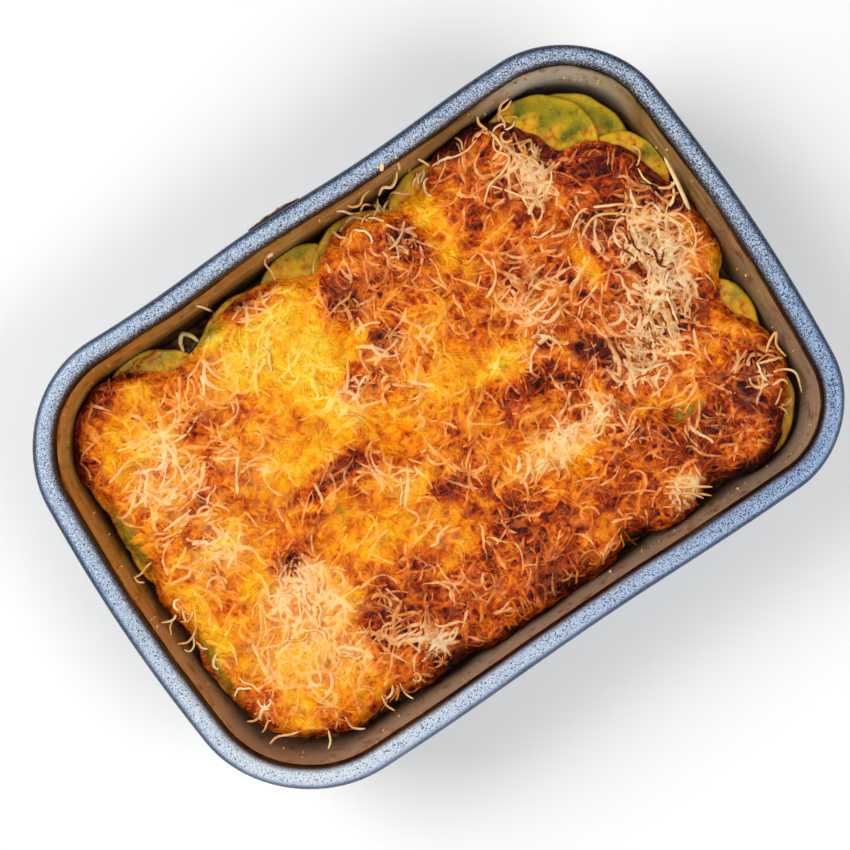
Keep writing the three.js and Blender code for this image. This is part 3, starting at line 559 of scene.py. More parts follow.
# %% Browning and drifts of shreds
SPREAD = 1.022
BROWNING = [  # x, y, half length, half width and amount
    (-34, 60, 25, 21, -0.3), (-28, 33, 11, 20, -0.28), (-110, 55, 13, 13, -0.18), (-121, -18, 7, 24, -0.24),
    (-92, -58, 24, 17, -0.14), (43, 63, 5, 20, -0.26), (34, 5, 12, 5, -0.3), (-42, -28, 14, 9, -0.24),
    (84, -49, 8, 4, -0.1), (-48, 16, 16, 7, -0.16), (-12, 42, 9, 7, -0.24), (-17, 5, 9, 11, -0.2),
    (38, -38, 22, 7, -0.1), (110, 70, 13, 11, -0.24), (112, -20, 7, 9, -0.12), (84, 18, 5, 9, -0.28),
    (60, 82, 8, 8, 0.06), (-100, 84, 16, 5, 0.34), (-125, 66, 4, 12, 0.3), (-128, 35, 4, 26, -0.12),
    (-79, 53, 8, 7, 0.22), (-60, 46, 8, 5, 0.2), (-102, 13, 11, 5, 0.25), (-37, 81, 10, 2, 0.36),
    (13, 70, 25, 19, 0.12), (-4, 59, 7, 10, 0.42), (31, 62, 6, 10, 0.4), (0, 38, 9, 4, 0.34), (-76, -12, 9, 6, 0.3),
    (-61, 4, 10, 3, 0.26), (-42, 6, 12, 3.5, 0.34), (-20, -20, 5, 6, -0.12), (-60, -57, 12, 14, 0.34),
    (-12, -24, 8, 6, 0.3), (8, -46, 11, 6, 0.26), (-15, -60, 2, 5, 0.45), (40, -10, 13, 5, 0.36),
    (65, -10, 5, 4, 0.42), (77, 88, 17, 5, 0.46), (88, 72, 7, 7, 0.42), (78, 46, 5, 4, 0.14), (118, 44, 15, 10, 0.2),
    (127, 22, 6, 10, 0.3), (37, -64, 4, 8, 0.16), (90, -62, 5, 4.5, 0.5), (118, -51, 9, 7, 0.32),
    (98, -85, 9, 3.5, 0.7), (98, 4, 34, 50, 0.14), (50, 26, 30, 30, 0.06), (-22, -66, 46, 18, 0.2),
    (-46, -79, 14, 6, 0.16), (62, -60, 44, 18, 0.16), (-88, 0, 44, 84, -0.05), (70, 66, 26, 22, 0.08),
    (106, -62, 4.5, 4.5, 0.4), (12, 5, 10, 6, -0.12), (106, 52, 12, 7, 0.2), (78, 58, 6, 5, 0.2),
    (102, 29, 10, 7, 0.3), (120, 28, 6, 9, 0.3), (108, 6, 9, 9, 0.3), (106, -18, 15, 9, 0.32), (76, -22, 14, 7, 0.26),
    (64, -34, 8, 6, 0.14), (0, -80, 18, 4, 0.26), (50, -80, 9, 5, 0.2), (-70, 66, 8, 8, 0.14), (-38, 75, 9, 4, 0.14),
    (-19, 30, 8, 6, 0.24), (-104, 45, 7, 6, 0.18), (-92, 30, 9, 5, 0.16), (-31, -43, 10, 6, 0.28),
    (50, 1, 4, 4, 0.22), (-98, -73, 6, 4, 0.18), (-56, 79, 10, 5, -0.2), (20, 79, 18, 5, -0.14),
    (-15, -49, 5, 6, -0.22), (22, 29, 12, 8, -0.1), (42, -48, 9, 6, -0.16), (-104, -22, 11, 14, -0.08),
    (32, -72, 9, 6, -0.14), (14, -44, 5, 9, -0.1), (-17, 77, 7, 5, -0.16), (54, 50, 9, 5, 0.12), (23, 49, 5, 6, 0.14),
    (62, 32, 9, 9, 0.1), (50, -18, 10, 6, 0.12), (-40, -30, 5, 12, 0.1), (-40, 75, 8, 4, 0.2), (45, 60, 5, 7, 0.14),
    (90, 68, 9, 8, 0.16), (100, 27, 7, 6, 0.14), (118, 30, 6, 6, 0.14), (-125, -5, 3, 7, 0.2),
    (-112, -15, 7, 5, 0.16), (51, -18, 7, 14, 0.14), (20, -58, 8, 5, 0.16), (20, -82, 22, 4, 0.18),
    (111, -71, 4, 4, 0.3), (-100, -80, 10, 5, 0.14), (28, 68, 6, 6, 0.14), (78, 87, 18, 4, 0.2),
    (-57, 82, 8, 4, -0.16), (-25, -45, 6, 5, -0.14), (-30, -38, 6, 5, -0.14), (45, -40, 8, 5, -0.14),
    (75, -44, 7, 5, -0.14), (125, 10, 4, 7, -0.16), (-112, 12, 6, 5, -0.12), (-95, -15, 7, 5, -0.14),
    (-72, 45, 6, 6, -0.12), (-62, -65, 6, 6, -0.12), (34, 56, 4, 6, -0.14), (-65, -40, 7, 5, -0.14),
    (20, 20, 7, 6, -0.12), (-100, 8, 18, 10, -0.12), (-28, -14, 20, 8, -0.08), (2, 49, 14, 6, -0.08),
    (23, 8, 18, 11, -0.08), (-25, -48, 14, 8, -0.1), (-60, 78, 9, 6, -0.2), (-92, 78, 9, 5, -0.12),
    (64, 48, 9, 5, -0.14), (127, -12, 4, 10, -0.24), (32, -61, 9, 5, -0.12), (72, -43, 10, 5, -0.12),
    (-104, 70, 7, 5, -0.1), (115, 30, 7, 7, 0.16), (128, 38, 4, 9, 0.12), (92, 64, 9, 6, 0.14),
    (93, -18, 8, 10, 0.16), (78, -64, 6, 5, 0.15), (-50, -72, 8, 5, 0.16), (-22, -66, 7, 5, 0.14),
    (2, -75, 12, 5, 0.14), (-120, -52, 4, 14, 0.1), (-12, 60, 5, 5, 0.2), (32, 68, 5, 6, 0.1), (-104, 57, 8, 5, 0.1),
    (47, 2, 6, 4, 0.12), (50, 31, 6, 5, 0.1), (62, 60, 5, 6, 0.06), (110, -54, 17, 9, 0.18), (104, -70, 20, 14, 0.08),
    (74, -16, 7, 6, 0.16), (108, -18, 7, 6, 0.12), (78, 60, 6, 7, 0.12), (100, 60, 14, 7, 0.06), (-18, 30, 8, 8, 0.1),
    (-85, -56, 22, 7, 0.12), (84, 12, 6, 8, -0.12), (57, -28, 5, 14, -0.1)]
DRIFTS = [  # x, y, half length, half width and how thickly pale shreds lie
    (86, 62, 11, 17, 0.6), (112, 12, 15, 14, 0.8), (82, -26, 20, 10, 0.65), (36, -36, 23, 7, 0.9),
    (-100, 40, 18, 20, 0.5), (-90, -45, 22, 26, 0.6), (67, -79, 9, 7, 1.0), (-45, -72, 10, 6, 0.6),
    (-30, -42, 12, 5, 0.3), (-5, 55, 8, 9, 0.45), (90, -63, 9, 8, 0.25), (-100, 3, 18, 12, 0.4),
    (-58, -60, 11, 14, 0.25), (-35, 62, 22, 16, 0.22), (2, 32, 16, 10, 0.3), (-22, 24, 10, 12, 0.35),
    (112, -55, 14, 8, 0.4), (98, -8, 18, 14, 0.6), (-70, 24, 12, 14, 0.35), (-78, -24, 14, 12, 0.45),
    (22, 66, 14, 12, 0.25), (60, 20, 20, 16, 0.25), (-20, -8, 20, 10, 0.25), (-66, 62, 10, 12, 0.3)]
PEEKS = [  # x, y, half length, half width and how bare the potato under it is
    (86, -54, 6.5, 3.6, 1.6), (36, 3, 2.2, 1.6, 0.8), (-51, -9, 3.5, 2.5, 0.7), (-56, 79, 9, 3.5, 0.8),
    (104, 72, 6, 4, 0.7), (-8, 81, 5, 2.5, 0.7), (127, -12, 3, 6, 0.8), (-127, 28, 4, 20, 1.0),
    (-127, -32, 4, 18, 0.9), (120, 33, 4, 3, 0.5)]


def patches(x, y, rows):
    ragged_x = x / SPREAD + 2.2 * layered_noise(x, y, 9, 21)
    ragged_y = y / SPREAD + 2.2 * layered_noise(x, y, 9, 31)
    total = 0
    for middle_x, middle_y, length, width, amount in rows:
        reach = ((ragged_x - middle_x) / length) ** 2 + ((ragged_y - middle_y) / width) ** 2
        total = total + amount * np.exp(-(reach**1.5))
    return total


def browning(x, y):
    speckled = 0.09 * layered_noise(x, y, 11, 41) + 0.07 * layered_noise(x, y, 3.6, 51)
    front = smoothstep(-58, -72, y) * smoothstep(-84, -70, x)
    rim = (0.06 + 0.13 * front) * smoothstep(-7, -0.5, edge_distance(x, y)) * (1 + noise(x, y, 12, 61))
    share = np.clip(0.5 + patches(x, y, BROWNING) + speckled + rim, 0, 1.4)
    return np.where(share > 0.72, 0.72 + 0.28 * (1 - np.exp((0.72 - share) / 0.36)), share)


def drift(x, y):
    thin = 0.12 + 0.25 * np.maximum(0, layered_noise(x, y, 13, 71))
    return np.clip(patches(x, y, DRIFTS) + thin, 0, 1)


print("browning in the middle:", round(float(browning(np.zeros(1), np.zeros(1))[0]), 2))

# %% [markdown]
# ## The cheese topping
# The topping is one skin that follows the height of the food. A square grid is pressed into the
# lobed outline, so that its border is the edge of the cheese. Further rings of the same border
# turn down the side and run in underneath, over the slices, and a last fan shuts the skin.

# %% Grid in the lobed outline
GRID_COLUMNS, GRID_ROWS = 320, 220
UNDERSIDE_SHARES = [0.97, 0.92, 0.85, 0.76, 0.65, 0.52, 0.38, 0.22]
SIDE_LEVELS = [0.12, 0.3, 0.55, 0.8, 1.0]
WALL_SLACK = 0.6  # millimetres that the cheese may pass the rough distance to the wall


def outline_reach(across, up):
    """How far the topping reaches along a direction, as a share of the dish's half sizes."""
    reach = np.full_like(across, 1.1)
    for _ in range(300):
        x, y = HALF_LENGTH * across * reach, HALF_WIDTH * up * reach
        outside = (edge_distance(x, y) > 0) | (wall_distance(x, y) < -WALL_SLACK)
        reach = np.where(outside, reach - 0.0015, reach)
    return reach


def fine_relief(x, y):
    """Crags of browned cheese and soft folds of melted cheese."""
    folds = (1 - np.abs(noise(x, y, 3.1, 91))) * noise(x, y, 9, 95)
    return (0.34 * layered_noise(x, y, 5.2, 81) + 0.22 * folds) * (0.5 + 0.9 * browning(x, y))


def topping_height(x, y):
    crown = TOPPING_CROWN * (1 - (x / HALF_LENGTH) ** 2) * (1 - (y / HALF_WIDTH) ** 2)
    to_edge = np.minimum(-edge_distance(x, y), wall_distance(x, y) + WALL_SLACK)
    height = TOPPING_BASE + crown + draped(x, y) + relief(x, y) + fine_relief(x, y)
    height = height - EDGE_DROP * smoothstep(EDGE_REACH, 0, to_edge)
    return np.maximum(height, slice_support(x, y) + 0.7)


u, v = np.meshgrid(np.linspace(-1, 1, GRID_COLUMNS + 1), np.linspace(-1, 1, GRID_ROWS + 1))
index = np.arange(u.size).reshape(u.shape)
border = np.concatenate([index[0, :-1], index[:-1, -1], index[-1, :0:-1], index[:0:-1, 0]])
border_u, border_v = u.ravel()[border], v.ravel()[border]
border_reach = outline_reach(border_u, border_v)
order = np.argsort(np.arctan2(border_v, border_u))
reach = np.interp(np.arctan2(v, u), np.arctan2(border_v, border_u)[order], border_reach[order], period=TAU)
pull = 1 + (reach - 1) * np.maximum(np.abs(u), np.abs(v)) ** 3
x, y = HALF_LENGTH * u * pull, HALF_WIDTH * v * pull
print("border of", len(border), "points")

# %% Build the topping
levels = topping_height(x, y)
points = [np.stack([x.ravel(), y.ravel(), levels.ravel()], 1)]
rim = points[0][border]
reach = np.hypot(rim[:, 0], rim[:, 1])
side_bottom = np.minimum(slice_support(rim[:, 0], rim[:, 1]), rim[:, 2] - 0.5)
for share in SIDE_LEVELS:
    z = rim[:, 2] + (side_bottom - rim[:, 2]) * share
    bulge = 0.35 * math.sin(math.pi * share) - INNER_DRAFT * (rim[:, 2] - z)
    ring = rim * (1 + bulge / reach)[:, None]
    ring[:, 2] = z
    points.append(ring)
side_foot = points[-1]
for share in UNDERSIDE_SHARES:
    ring = side_foot * share
    ring[:, 2] = slice_support(ring[:, 0], ring[:, 1])
    points.append(ring)
points.append(np.array([[0, 0, FILLING_TOP + GAP]]))
quads = np.stack([index[:-1, :-1], index[:-1, 1:], index[1:, 1:], index[1:, :-1]], -1).reshape(-1, 4)
faces = quads.tolist()
above = border
for ring_number in range(len(points) - 2):
    below = u.size + ring_number * len(border) + np.arange(len(border))
    faces += np.stack([above, below, np.roll(below, -1), np.roll(above, -1)], 1).tolist()
    above = below
centre = u.size + (len(points) - 2) * len(border)
faces += [[a, centre, b] for a, b in zip(above.tolist(), np.roll(above, -1).tolist())]
points = np.concatenate(points)
spots = points[:, 0], points[:, 1]
brown, pale = browning(*spots), drift(*spots)
lies = smoothstep(0.5, 4.5, -edge_distance(*spots)) * smoothstep(0, 3, wall_distance(*spots) + WALL_SLACK)
lies = (np.arange(len(points)) < u.size) * lies  # where shreds may lie: on top, and clear of the edge
topping = make_piece("topping", points, faces, None, brown=brown, bare=patches(*spots, PEEKS), drift=pale * lies,
                     heap=smoothstep(0.25, 1.1, pale) * lies, scorched=smoothstep(0.5, 0.9, brown) * lies)
print("topping of", sum(len(face) - 2 for face in faces), "triangles")

# %% [markdown]
# ## Browned cheese
# Melted cheese is fat and protein: glossy, a little translucent, golden where it stayed soft and
# red-brown to nearly black where it scorched. Melted shreds leave a net of raised lines with
# darker pits between them, which the edges of a warped Voronoi pattern give.

# %% Material of the crust
CRUST = [
    (0, "ffe06a"), (0.14, "ffc824"), (0.28, "ffac08"), (0.42, "f68c04"), (0.54, "de6404"),
    (0.66, "aa3608"), (0.78, "701a08"), (0.9, "400c0a"), (1, "240607")]
NET_SIZE, WARP = 3.6, 2.6  # millimetres between the lines of the net, and how far they wander
CHEESE_IOR, CHEESE_GLOSS = 1.46, 0.16

# Cheese melted and browned under a grill: fat over protein, golden to nearly black.
browned_cheese, place = new_material("browned_melted_cheese")
brown, on_drift, bare = [put("Attribute", attribute_name=name).outputs["Fac"] for name in ("brown", "drift", "bare")]
wander = put("TexNoise", place, scale=per(5), detail=2).outputs["Color"]
wander = put("VectorMath.SCALE", put("VectorMath.SUBTRACT", wander, (0.5, 0.5, 0.5)), WARP * MM * 2)
warped = put("VectorMath.ADD", place, wander)
net = put("TexVoronoi", warped, scale=per(NET_SIZE), feature="DISTANCE_TO_EDGE")
pits = put("MapRange", net.outputs["Distance"], 0.06, 0.34)
cells = put("SeparateXYZ", put("TexVoronoi", warped, scale=per(NET_SIZE)).outputs["Color"]).outputs["X"]
pit_depth = put("Math.MULTIPLY", put("MapRange", brown, 0.3, 0.72, 0.04, 0.36), cells)
coarse = put("TexNoise", place, scale=per(4.5), detail=3, roughness=0.6)
mottle = put("TexNoise", warped, scale=per(1.4), detail=4, roughness=0.7)
# How dark it is: brownness with pits, fine specks and broad blotches
darker = put("Math.MULTIPLY_ADD", put("Math.ADD", pits, -0.35), pit_depth, brown)
speck = put("Math.MULTIPLY_ADD", put("Math.ADD", mottle, -0.5), put("MapRange", brown, 0.3, 0.75, 0.12, 0.55), 0.25)
darker = put("Math.MULTIPLY_ADD", coarse, 0.75, put("Math.ADD", speck, darker))
crust = put("ValToRGB", put("Math.ADD", darker, -0.58), stops=CRUST)

# Shreds that melted away leave pale winding fibres: level lines of a noise, broken by another.
FIBRES = [(8.5, 1.0, 0.47), (6.5, 5.0, 0.5), (10.5, 9.0, 0.45), (10.5, 9.0, 0.54)]  # size, draw and level
FIBRE_STEEPNESS = 0.62  # how much this noise rises over its own size
FIBRE_WIDTH = 0.9  # millimetres
fibres = 0.0
for size, seed, level in FIBRES:
    hills = put("TexNoise", place, seed, per(size), detail=0, distortion=0.35, noise_dimensions="4D")
    gaps = put("TexNoise", place, seed + level, per(size * 0.8), detail=0, noise_dimensions="4D")
    reach = FIBRE_WIDTH / 2 / size * FIBRE_STEEPNESS
    fibre = put("MapRange", put("Math.ABSOLUTE", put("Math.ADD", hills, -level)), reach * 1.5, reach * 0.6)
    fibre = put("Math.MULTIPLY", fibre, put("MapRange", gaps, 0.47, 0.56))
    fibres = put("Math.MAXIMUM", fibre, fibres)

# Layers over it: fused shreds where it stayed soft, fibres, and potato where it is bare
fused = put("MapRange", put("Math.MULTIPLY_ADD", coarse, 0.9, on_drift), 0.8, 1.3, 0, 0.55)
fused = put("Math.MULTIPLY", fused, put("MapRange", brown, 0.66, 0.48))
fibre_amount = put("Math.MULTIPLY", fibres, put("MapRange", on_drift, 0.05, 0.5, 0.15, 0.6))
fibre_colour = put("ValToRGB", brown, stops=[
    (0.2, "ffd03c"), (0.42, "f8ac38"), (0.6, "ee8c38"), (0.8, "c66028"), (1, "843212")])
flesh = put("ValToRGB", mottle, stops=[(0.35, "5f5208"), (0.65, "b09a28")])
for amount, colour in [
        (fused, paint("f2b45c")), (fibre_amount, fibre_colour), (put("MapRange", bare, 0.3, 0.9, 0, 0.85), flesh)]:
    crust = put("Mix.RGBA", amount, crust, colour)
ridges = put("Math.MULTIPLY_ADD", fibres, 0.8, put("Math.SUBTRACT", mottle, pits))
shine = put("MapRange", mottle, 0.3, 0.7, 0.2, 0.42)
finish_material(ridges, 0.6, crust, shine, CHEESE_IOR, CHEESE_GLOSS, (0.08, (1, 0.35, 0.08), 2))
topping.data.materials.append(browned_cheese)
finish_piece(topping, "browned_cheese", "cheese_topping")

# %% [markdown]
# ## Shreds of cheese
# Grated cheese keeps its shape where it lies loose: short arcs 1 to 2 mm wide that melt flat into
# the crust or lie heaped in pale drifts. Thousands of them follow the surface, which is work for
# one Geometry Nodes tree. It scatters points, bends a line at each into an arc, drops it on the
# crust by casting rays, and sweeps a flat section along it. The tree is used once for each kind.

# %% Material of the shreds
# Shreds of the same cheese: pale where they lie loose, and the crust's colour where they melted in.
shred_cheese, place = new_material("grated_melted_cheese")
under, toast, melt = [put("Attribute", attribute_name=name).outputs["Fac"] for name in ("under", "toast", "melt")]
blotches = put("TexNoise", place, scale=per(2.5), detail=3)
blotch_shift = put("Math.MULTIPLY_ADD", blotches, 0.6, -0.3)
own = put("ValToRGB", put("Math.ADD", toast, blotch_shift), stops=[
    (0, "fce4b2"), (0.2, "f6c88a"), (0.4, "ea9848"), (0.55, "dc6e1e"),
    (0.7, "b4440c"), (0.85, "741f06"), (1, "340c04")])
own = put("Mix.RGBA", put("MapRange", under, 0.62, 0.32, 0, 0.3), own, paint("eaae20"))
sunk = put("ValToRGB", put("Math.ADD", put("Math.ADD", under, blotch_shift), -0.05), stops=CRUST)
shred_colour = put("Mix.RGBA", melt, own, sunk)
finish_material(blotches, 0.15, shred_colour, 0.32, CHEESE_IOR, CHEESE_GLOSS, (0.12, (1, 0.5, 0.15), 1.5))

# %% [markdown]
# ## Nets of half-melted shreds
# Most shreds sank half into the crust and fused where they crossed, so they form a net. Each is
# drawn as a curving line into one height field, which joins crossings with a soft web. The cells
# that the lines touch become a closed skin, whose edges dip under the crust.

# %% Draw a net into a height field
CELL = 0.5  # millimetres, also the step along a line
NET_LEFT, NET_FRONT = 134, 91
NET_X, NET_Y = np.meshgrid(np.arange(-NET_LEFT, NET_LEFT, CELL), np.arange(-NET_FRONT, NET_FRONT, CELL))
SUNK = -0.5
REACH = 1.6  # how far the height of a line runs out, in its half widths
print("field of", NET_X.size, "cells")
crust_level = topping_height(NET_X, NET_Y)
crust_brown = browning(NET_X, NET_Y)
crust_drift = drift(NET_X, NET_Y)
lie_room = smoothstep(0.6, 3.0, -edge_distance(NET_X, NET_Y)) * smoothstep(0.5, 3, wall_distance(NET_X, NET_Y))
piled = np.full_like(NET_X, SUNK)


def curving_line(random, start, shortest, longest, bend):
    """Places at each cell's size along a line that wavers as it goes."""
    count = max(6, int(random.uniform(shortest, longest) / CELL))
    gone = np.arange(count) * CELL
    flow = math.pi * float(noise(start[0], start[1], 34, 17))
    heading = flow + random.normal(0, 0.8) + gone * random.normal(0, bend)
    for size, length in ((0.35, 19), (0.12, 7)):
        wave = TAU * gone / (length * random.uniform(0.7, 1.4)) + random.uniform(0, TAU)
        heading = heading + random.normal(0, size) * np.sin(wave)
    line = np.cumsum(CELL * np.stack([np.cos(heading), np.sin(heading)], 1), axis=0)
    return start + line - line[count // 2]


def cells_of(places, left, count):
    """The numbers of the cells that places along one side of the field lie in."""
    return np.clip(((places + left) / CELL).astype(int), 0, count - 1)


def draw_net(where, count, shortest, longest, bend, widths, heights, tones, seed):
    """Draws lines where a map says.

    Gives the field of their heights over the crust, their tones, and how near a middle is.
    """
    random = np.random.default_rng(seed)
    field, tone, core = np.full_like(NET_X, SUNK), np.zeros_like(NET_X), np.zeros_like(NET_X)
    chances = (where / where.sum()).ravel()
    for cell in random.choice(NET_X.size, count, p=chances):
        start = np.array([NET_X.flat[cell], NET_Y.flat[cell]])
        line = curving_line(random, start, shortest, longest, bend)
        share = np.linspace(-1, 1, len(line))
        uneven = 1 + 0.3 * np.sin(np.linspace(0, random.uniform(4, 12), len(line)) + random.uniform(0, TAU))
        breadth = random.uniform(*widths) / 2 * uneven * (1 - 0.35 * np.abs(share) ** 6)
        low, high = line.min(axis=0) - REACH, line.max(axis=0) + REACH
        columns = slice(max(0, int((low[0] + NET_LEFT) / CELL)), max(1, int((high[0] + NET_LEFT) / CELL)))
        rows = slice(max(0, int((low[1] + NET_FRONT) / CELL)), max(1, int((high[1] + NET_FRONT) / CELL)))
        near_x, near_y = NET_X[rows, columns], NET_Y[rows, columns]
        if near_x.size < 9:
            continue
        reach = np.hypot(near_x[..., None] - line[:, 0], near_y[..., None] - line[:, 1]) / breadth
        nearest = reach.argmin(axis=-1)
        reach = np.take_along_axis(reach, nearest[..., None], -1)[..., 0]
        column = cells_of(line[:, 0], NET_LEFT, NET_X.shape[1])
        row = cells_of(line[:, 1], NET_FRONT, NET_X.shape[0])
        under = np.maximum(0, piled[row, column])
        under = np.convolve(np.pad(under, 3, "edge"), np.ones(7) / 7, "valid") * (1 - share**8)
        room = lie_room[row, column]
        swell = np.sign(1 - reach) * np.abs(1 - reach**2) ** 0.7 * random.uniform(*heights)
        sides = under[nearest] * 0.75 + swell - 0.5 * (1 - room[nearest]) - 0.3 * np.abs(share[nearest]) ** 16
        sides = np.where(reach < REACH, sides, SUNK)
        here = field[rows, columns]
        core[rows, columns] = np.maximum(core[rows, columns], (1 - reach**2) * (1 - share[nearest] ** 8))
        tone[rows, columns] = np.where((sides > here) & (reach < 1.3), random.uniform(*tones), tone[rows, columns])
        field[rows, columns] = np.maximum(SUNK, rounded_max(here, sides, 0.12))
    np.maximum(piled, field, out=piled)
    return field, tone, core


def net_skin(field):
    """Closed skin of the cells that a net reaches, with the cell of each point."""
    corners = [field[:-1, :-1], field[:-1, 1:], field[1:, 1:], field[1:, :-1]]
    kept = np.pad(np.max(corners, axis=0) > -0.02, 1)

    def moved(down, right):
        return kept[down:kept.shape[0] - 1 + down, right:kept.shape[1] - 1 + right]

    # Where two kept cells meet at a corner alone, a third joins them
    for _ in range(4):
        for a, b, c, d in ((0, 0, 1, 1), (0, 1, 1, 0)):
            beside = moved(a, d)
            beside |= moved(a, b) & moved(c, d) & ~beside & ~moved(c, b)
    row, column = np.nonzero(kept[1:-1, 1:-1])
    corner = row * field.shape[1] + column
    below = corner + field.shape[1]
    quads = np.stack([corner, corner + 1, below + 1, below], 1)
    used, numbers = np.unique(quads, return_inverse=True)
    top = numbers.reshape(quads.shape)
    bottom = top + len(used)
    faces = [top, bottom[:, ::-1]]
    for side, (shift_row, shift_column) in enumerate([(-1, 0), (0, 1), (1, 0), (0, -1)]):
        bare = ~kept[row + 1 + shift_row, column + 1 + shift_column]
        a, b = top[bare, side], top[bare, (side + 1) % 4]
        faces.append(np.stack([b, a, a + len(used), b + len(used)], 1))
    return used, np.concatenate(faces).tolist()


# %% Build the nets
NET_DEPTH = 0.9  # millimetres from the crust down to the underside of a net
GOLDEN = [(-92, -62, 28, 18, 1.0)]  # x, y, half length, half width and amount where shreds are more golden
NETS = {  # where, how many, shortest, longest, bend, widths, heights, tones, seed; least and most melt
    "melted_net": (
        lie_room * (0.35 + crust_brown),
        360, 8, 22, 0.08, (0.9, 2.0), (0.12, 0.26), (0.3, 0.65), 11, (0.45, 0.9)),
    "peach_net": (
        lie_room * (0.07 + crust_drift**1.2),
        370, 8, 24, 0.08, (0.8, 1.7), (0.15, 0.3), (0.15, 0.55), 12, (0.25, 0.7)),
    "amber_net": (
        lie_room * smoothstep(0.35, 0.65, crust_brown) * (0.4 + crust_drift),
        400, 7, 18, 0.12, (0.7, 1.3), (0.16, 0.32), (0.08, 0.4), 15, (0.1, 0.5)),
    "blond_net": (
        lie_room * (0.03 + crust_drift**1.2),
        400, 8, 22, 0.08, (0.8, 1.4), (0.18, 0.34), (0.1, 0.42), 14, (0.15, 0.5)),
    "cream_net": (
        lie_room * smoothstep(0.22, 0.9, crust_drift),
        470, 8, 20, 0.1, (0.9, 1.7), (0.22, 0.4), (0.02, 0.3), 13, (0.08, 0.35))}
for name, (*drawing, melts) in NETS.items():
    field, tone, core = draw_net(*drawing)
    used, faces = net_skin(field)
    x, y, base = NET_X.flat[used], NET_Y.flat[used], crust_level.flat[used]
    points = [np.stack([x, y, level], 1) for level in (base + field.flat[used], base - NET_DEPTH)]
    under = crust_brown.flat[used]
    melt = melts[0] + (melts[1] - melts[0]) * (0.5 + 0.5 * noise(x, y, 6, 15))
    melt = 1 - (1 - melt) * smoothstep(-0.1, 0.55, core.flat[used]) * (1 - 0.45 * smoothstep(0.5, 0.25, under))
    toast = tone.flat[used] + 0.45 * (under - 0.5) + 0.3 * (0.45 - crust_drift.flat[used])
    toast = toast + 0.13 * patches(x, y, GOLDEN)
    values = {key: np.tile(each, 2) for key, each in [("toast", toast), ("melt", melt), ("under", under)]}
    finish_piece(make_piece(name, np.concatenate(points), faces, shred_cheese, **values), "browned_cheese")
    print(name, 2 * len(faces), "triangles")

# %% Tree that lays shreds on a surface
SHRED_POINTS, SHRED_SIDES = 11, 6
SHAKE, END_DIP = 0.008, 0.0007  # metres sideways, and down into the crust at the ends
RAY_START, RAY_LENGTH = 0.09, 0.2  # metres above the floor, and downwards
LEAST_UPWARD = 0.25  # the crust is too steep for a shred where its normal points up less
SIZES = ["Per square metre", "Shortest", "Longest", "Curl", "Width", "Flatness", "Pile",
         "Melt from", "Melt to", "Toast from", "Toast to"]
KINDS = {"Surface": "Geometry", "Where": "String", **dict.fromkeys(SIZES, "Float"),
         "Seed": "Int", "Material": "Material"}
UP = (0, 0, 1)

shred_tree = tree = bpy.data.node_groups.new("shreds_on_a_surface", "GeometryNodeTree")
identifiers = {}
for name, kind in KINDS.items():
    item = tree.interface.new_socket(name, in_out="INPUT", socket_type="NodeSocket" + kind)
    identifiers[name] = item.identifier
tree.interface.new_socket("Shreds", in_out="OUTPUT", socket_type="NodeSocketGeometry")
given = {socket.name: socket for socket in put("NodeGroupInput").outputs if socket.name}

# Points where a value of the surface says, each with what its shred needs
spot = put("InputPosition")
density = put("Math.MULTIPLY", put("InputNamedAttribute", given["Where"]), given["Per square metre"])
flow = put("DistributePointsOnFaces", given["Surface"], density=density, seed=given["Seed"]).outputs["Points"]
draws = [put("RandomValue", low, high, seed=seed) for seed, (low, high) in enumerate([
    (-0.8, 0.8), (given["Shortest"], given["Longest"]), (0.25, given["Curl"]), (0, 1),
    (given["Melt from"], given["Melt to"]), (given["Toast from"], given["Toast to"]), (0.6, 1.3)], 1)]
lean, length, sweep, lie, melt, toast, stout = draws
grain = put("TexNoise", spot, scale=per(40), detail=1)
arm = put("CombineXYZ", put("Math.DIVIDE", length, sweep))
arm = put("VectorRotate", arm, None, UP, put("Math.MULTIPLY_ADD", grain, 16, lean))
hub = put("VectorMath.ADD", spot, arm)
carried = [
    ("start", "FLOAT_VECTOR", spot), ("hub", "FLOAT_VECTOR", hub), ("sweep", "FLOAT", sweep),
    ("lie", "FLOAT", put("Math.POWER", lie, 1.6)), ("melt", "FLOAT", melt), ("toast", "FLOAT", toast)]
for name, kind, value in carried:
    flow = put("StoreNamedAttribute." + kind, flow, None, name, value)
start, hub, sweep, lie = [put("InputNamedAttribute." + kind, name) for name, kind, _ in carried[:4]]

# A line at each, bent round its hub and shaken a little
line = put("ResampleCurve", put("CurvePrimitiveLine", end=(0, 0, 0.01)), count=SHRED_POINTS)
flow = put("RealizeInstances", put("InstanceOnPoints", flow, instance=line))
middle = put("Math.SUBTRACT", put("SplineParameter").outputs["Factor"], 0.5)
bent = put("VectorRotate", start, hub, UP, put("Math.MULTIPLY", sweep, middle))
flow = put("SetPosition", flow, position=bent)
shake = put("TexNoise", spot, put("Math.MULTIPLY", lie, 40), per(25 / 3), detail=1, noise_dimensions="4D")
shake = put("VectorMath.SUBTRACT", shake.outputs["Color"], (0.5, 0.5, 0.5))
flow = put("SetPosition", flow, offset=put("VectorMath.SCALE", shake, SHAKE))

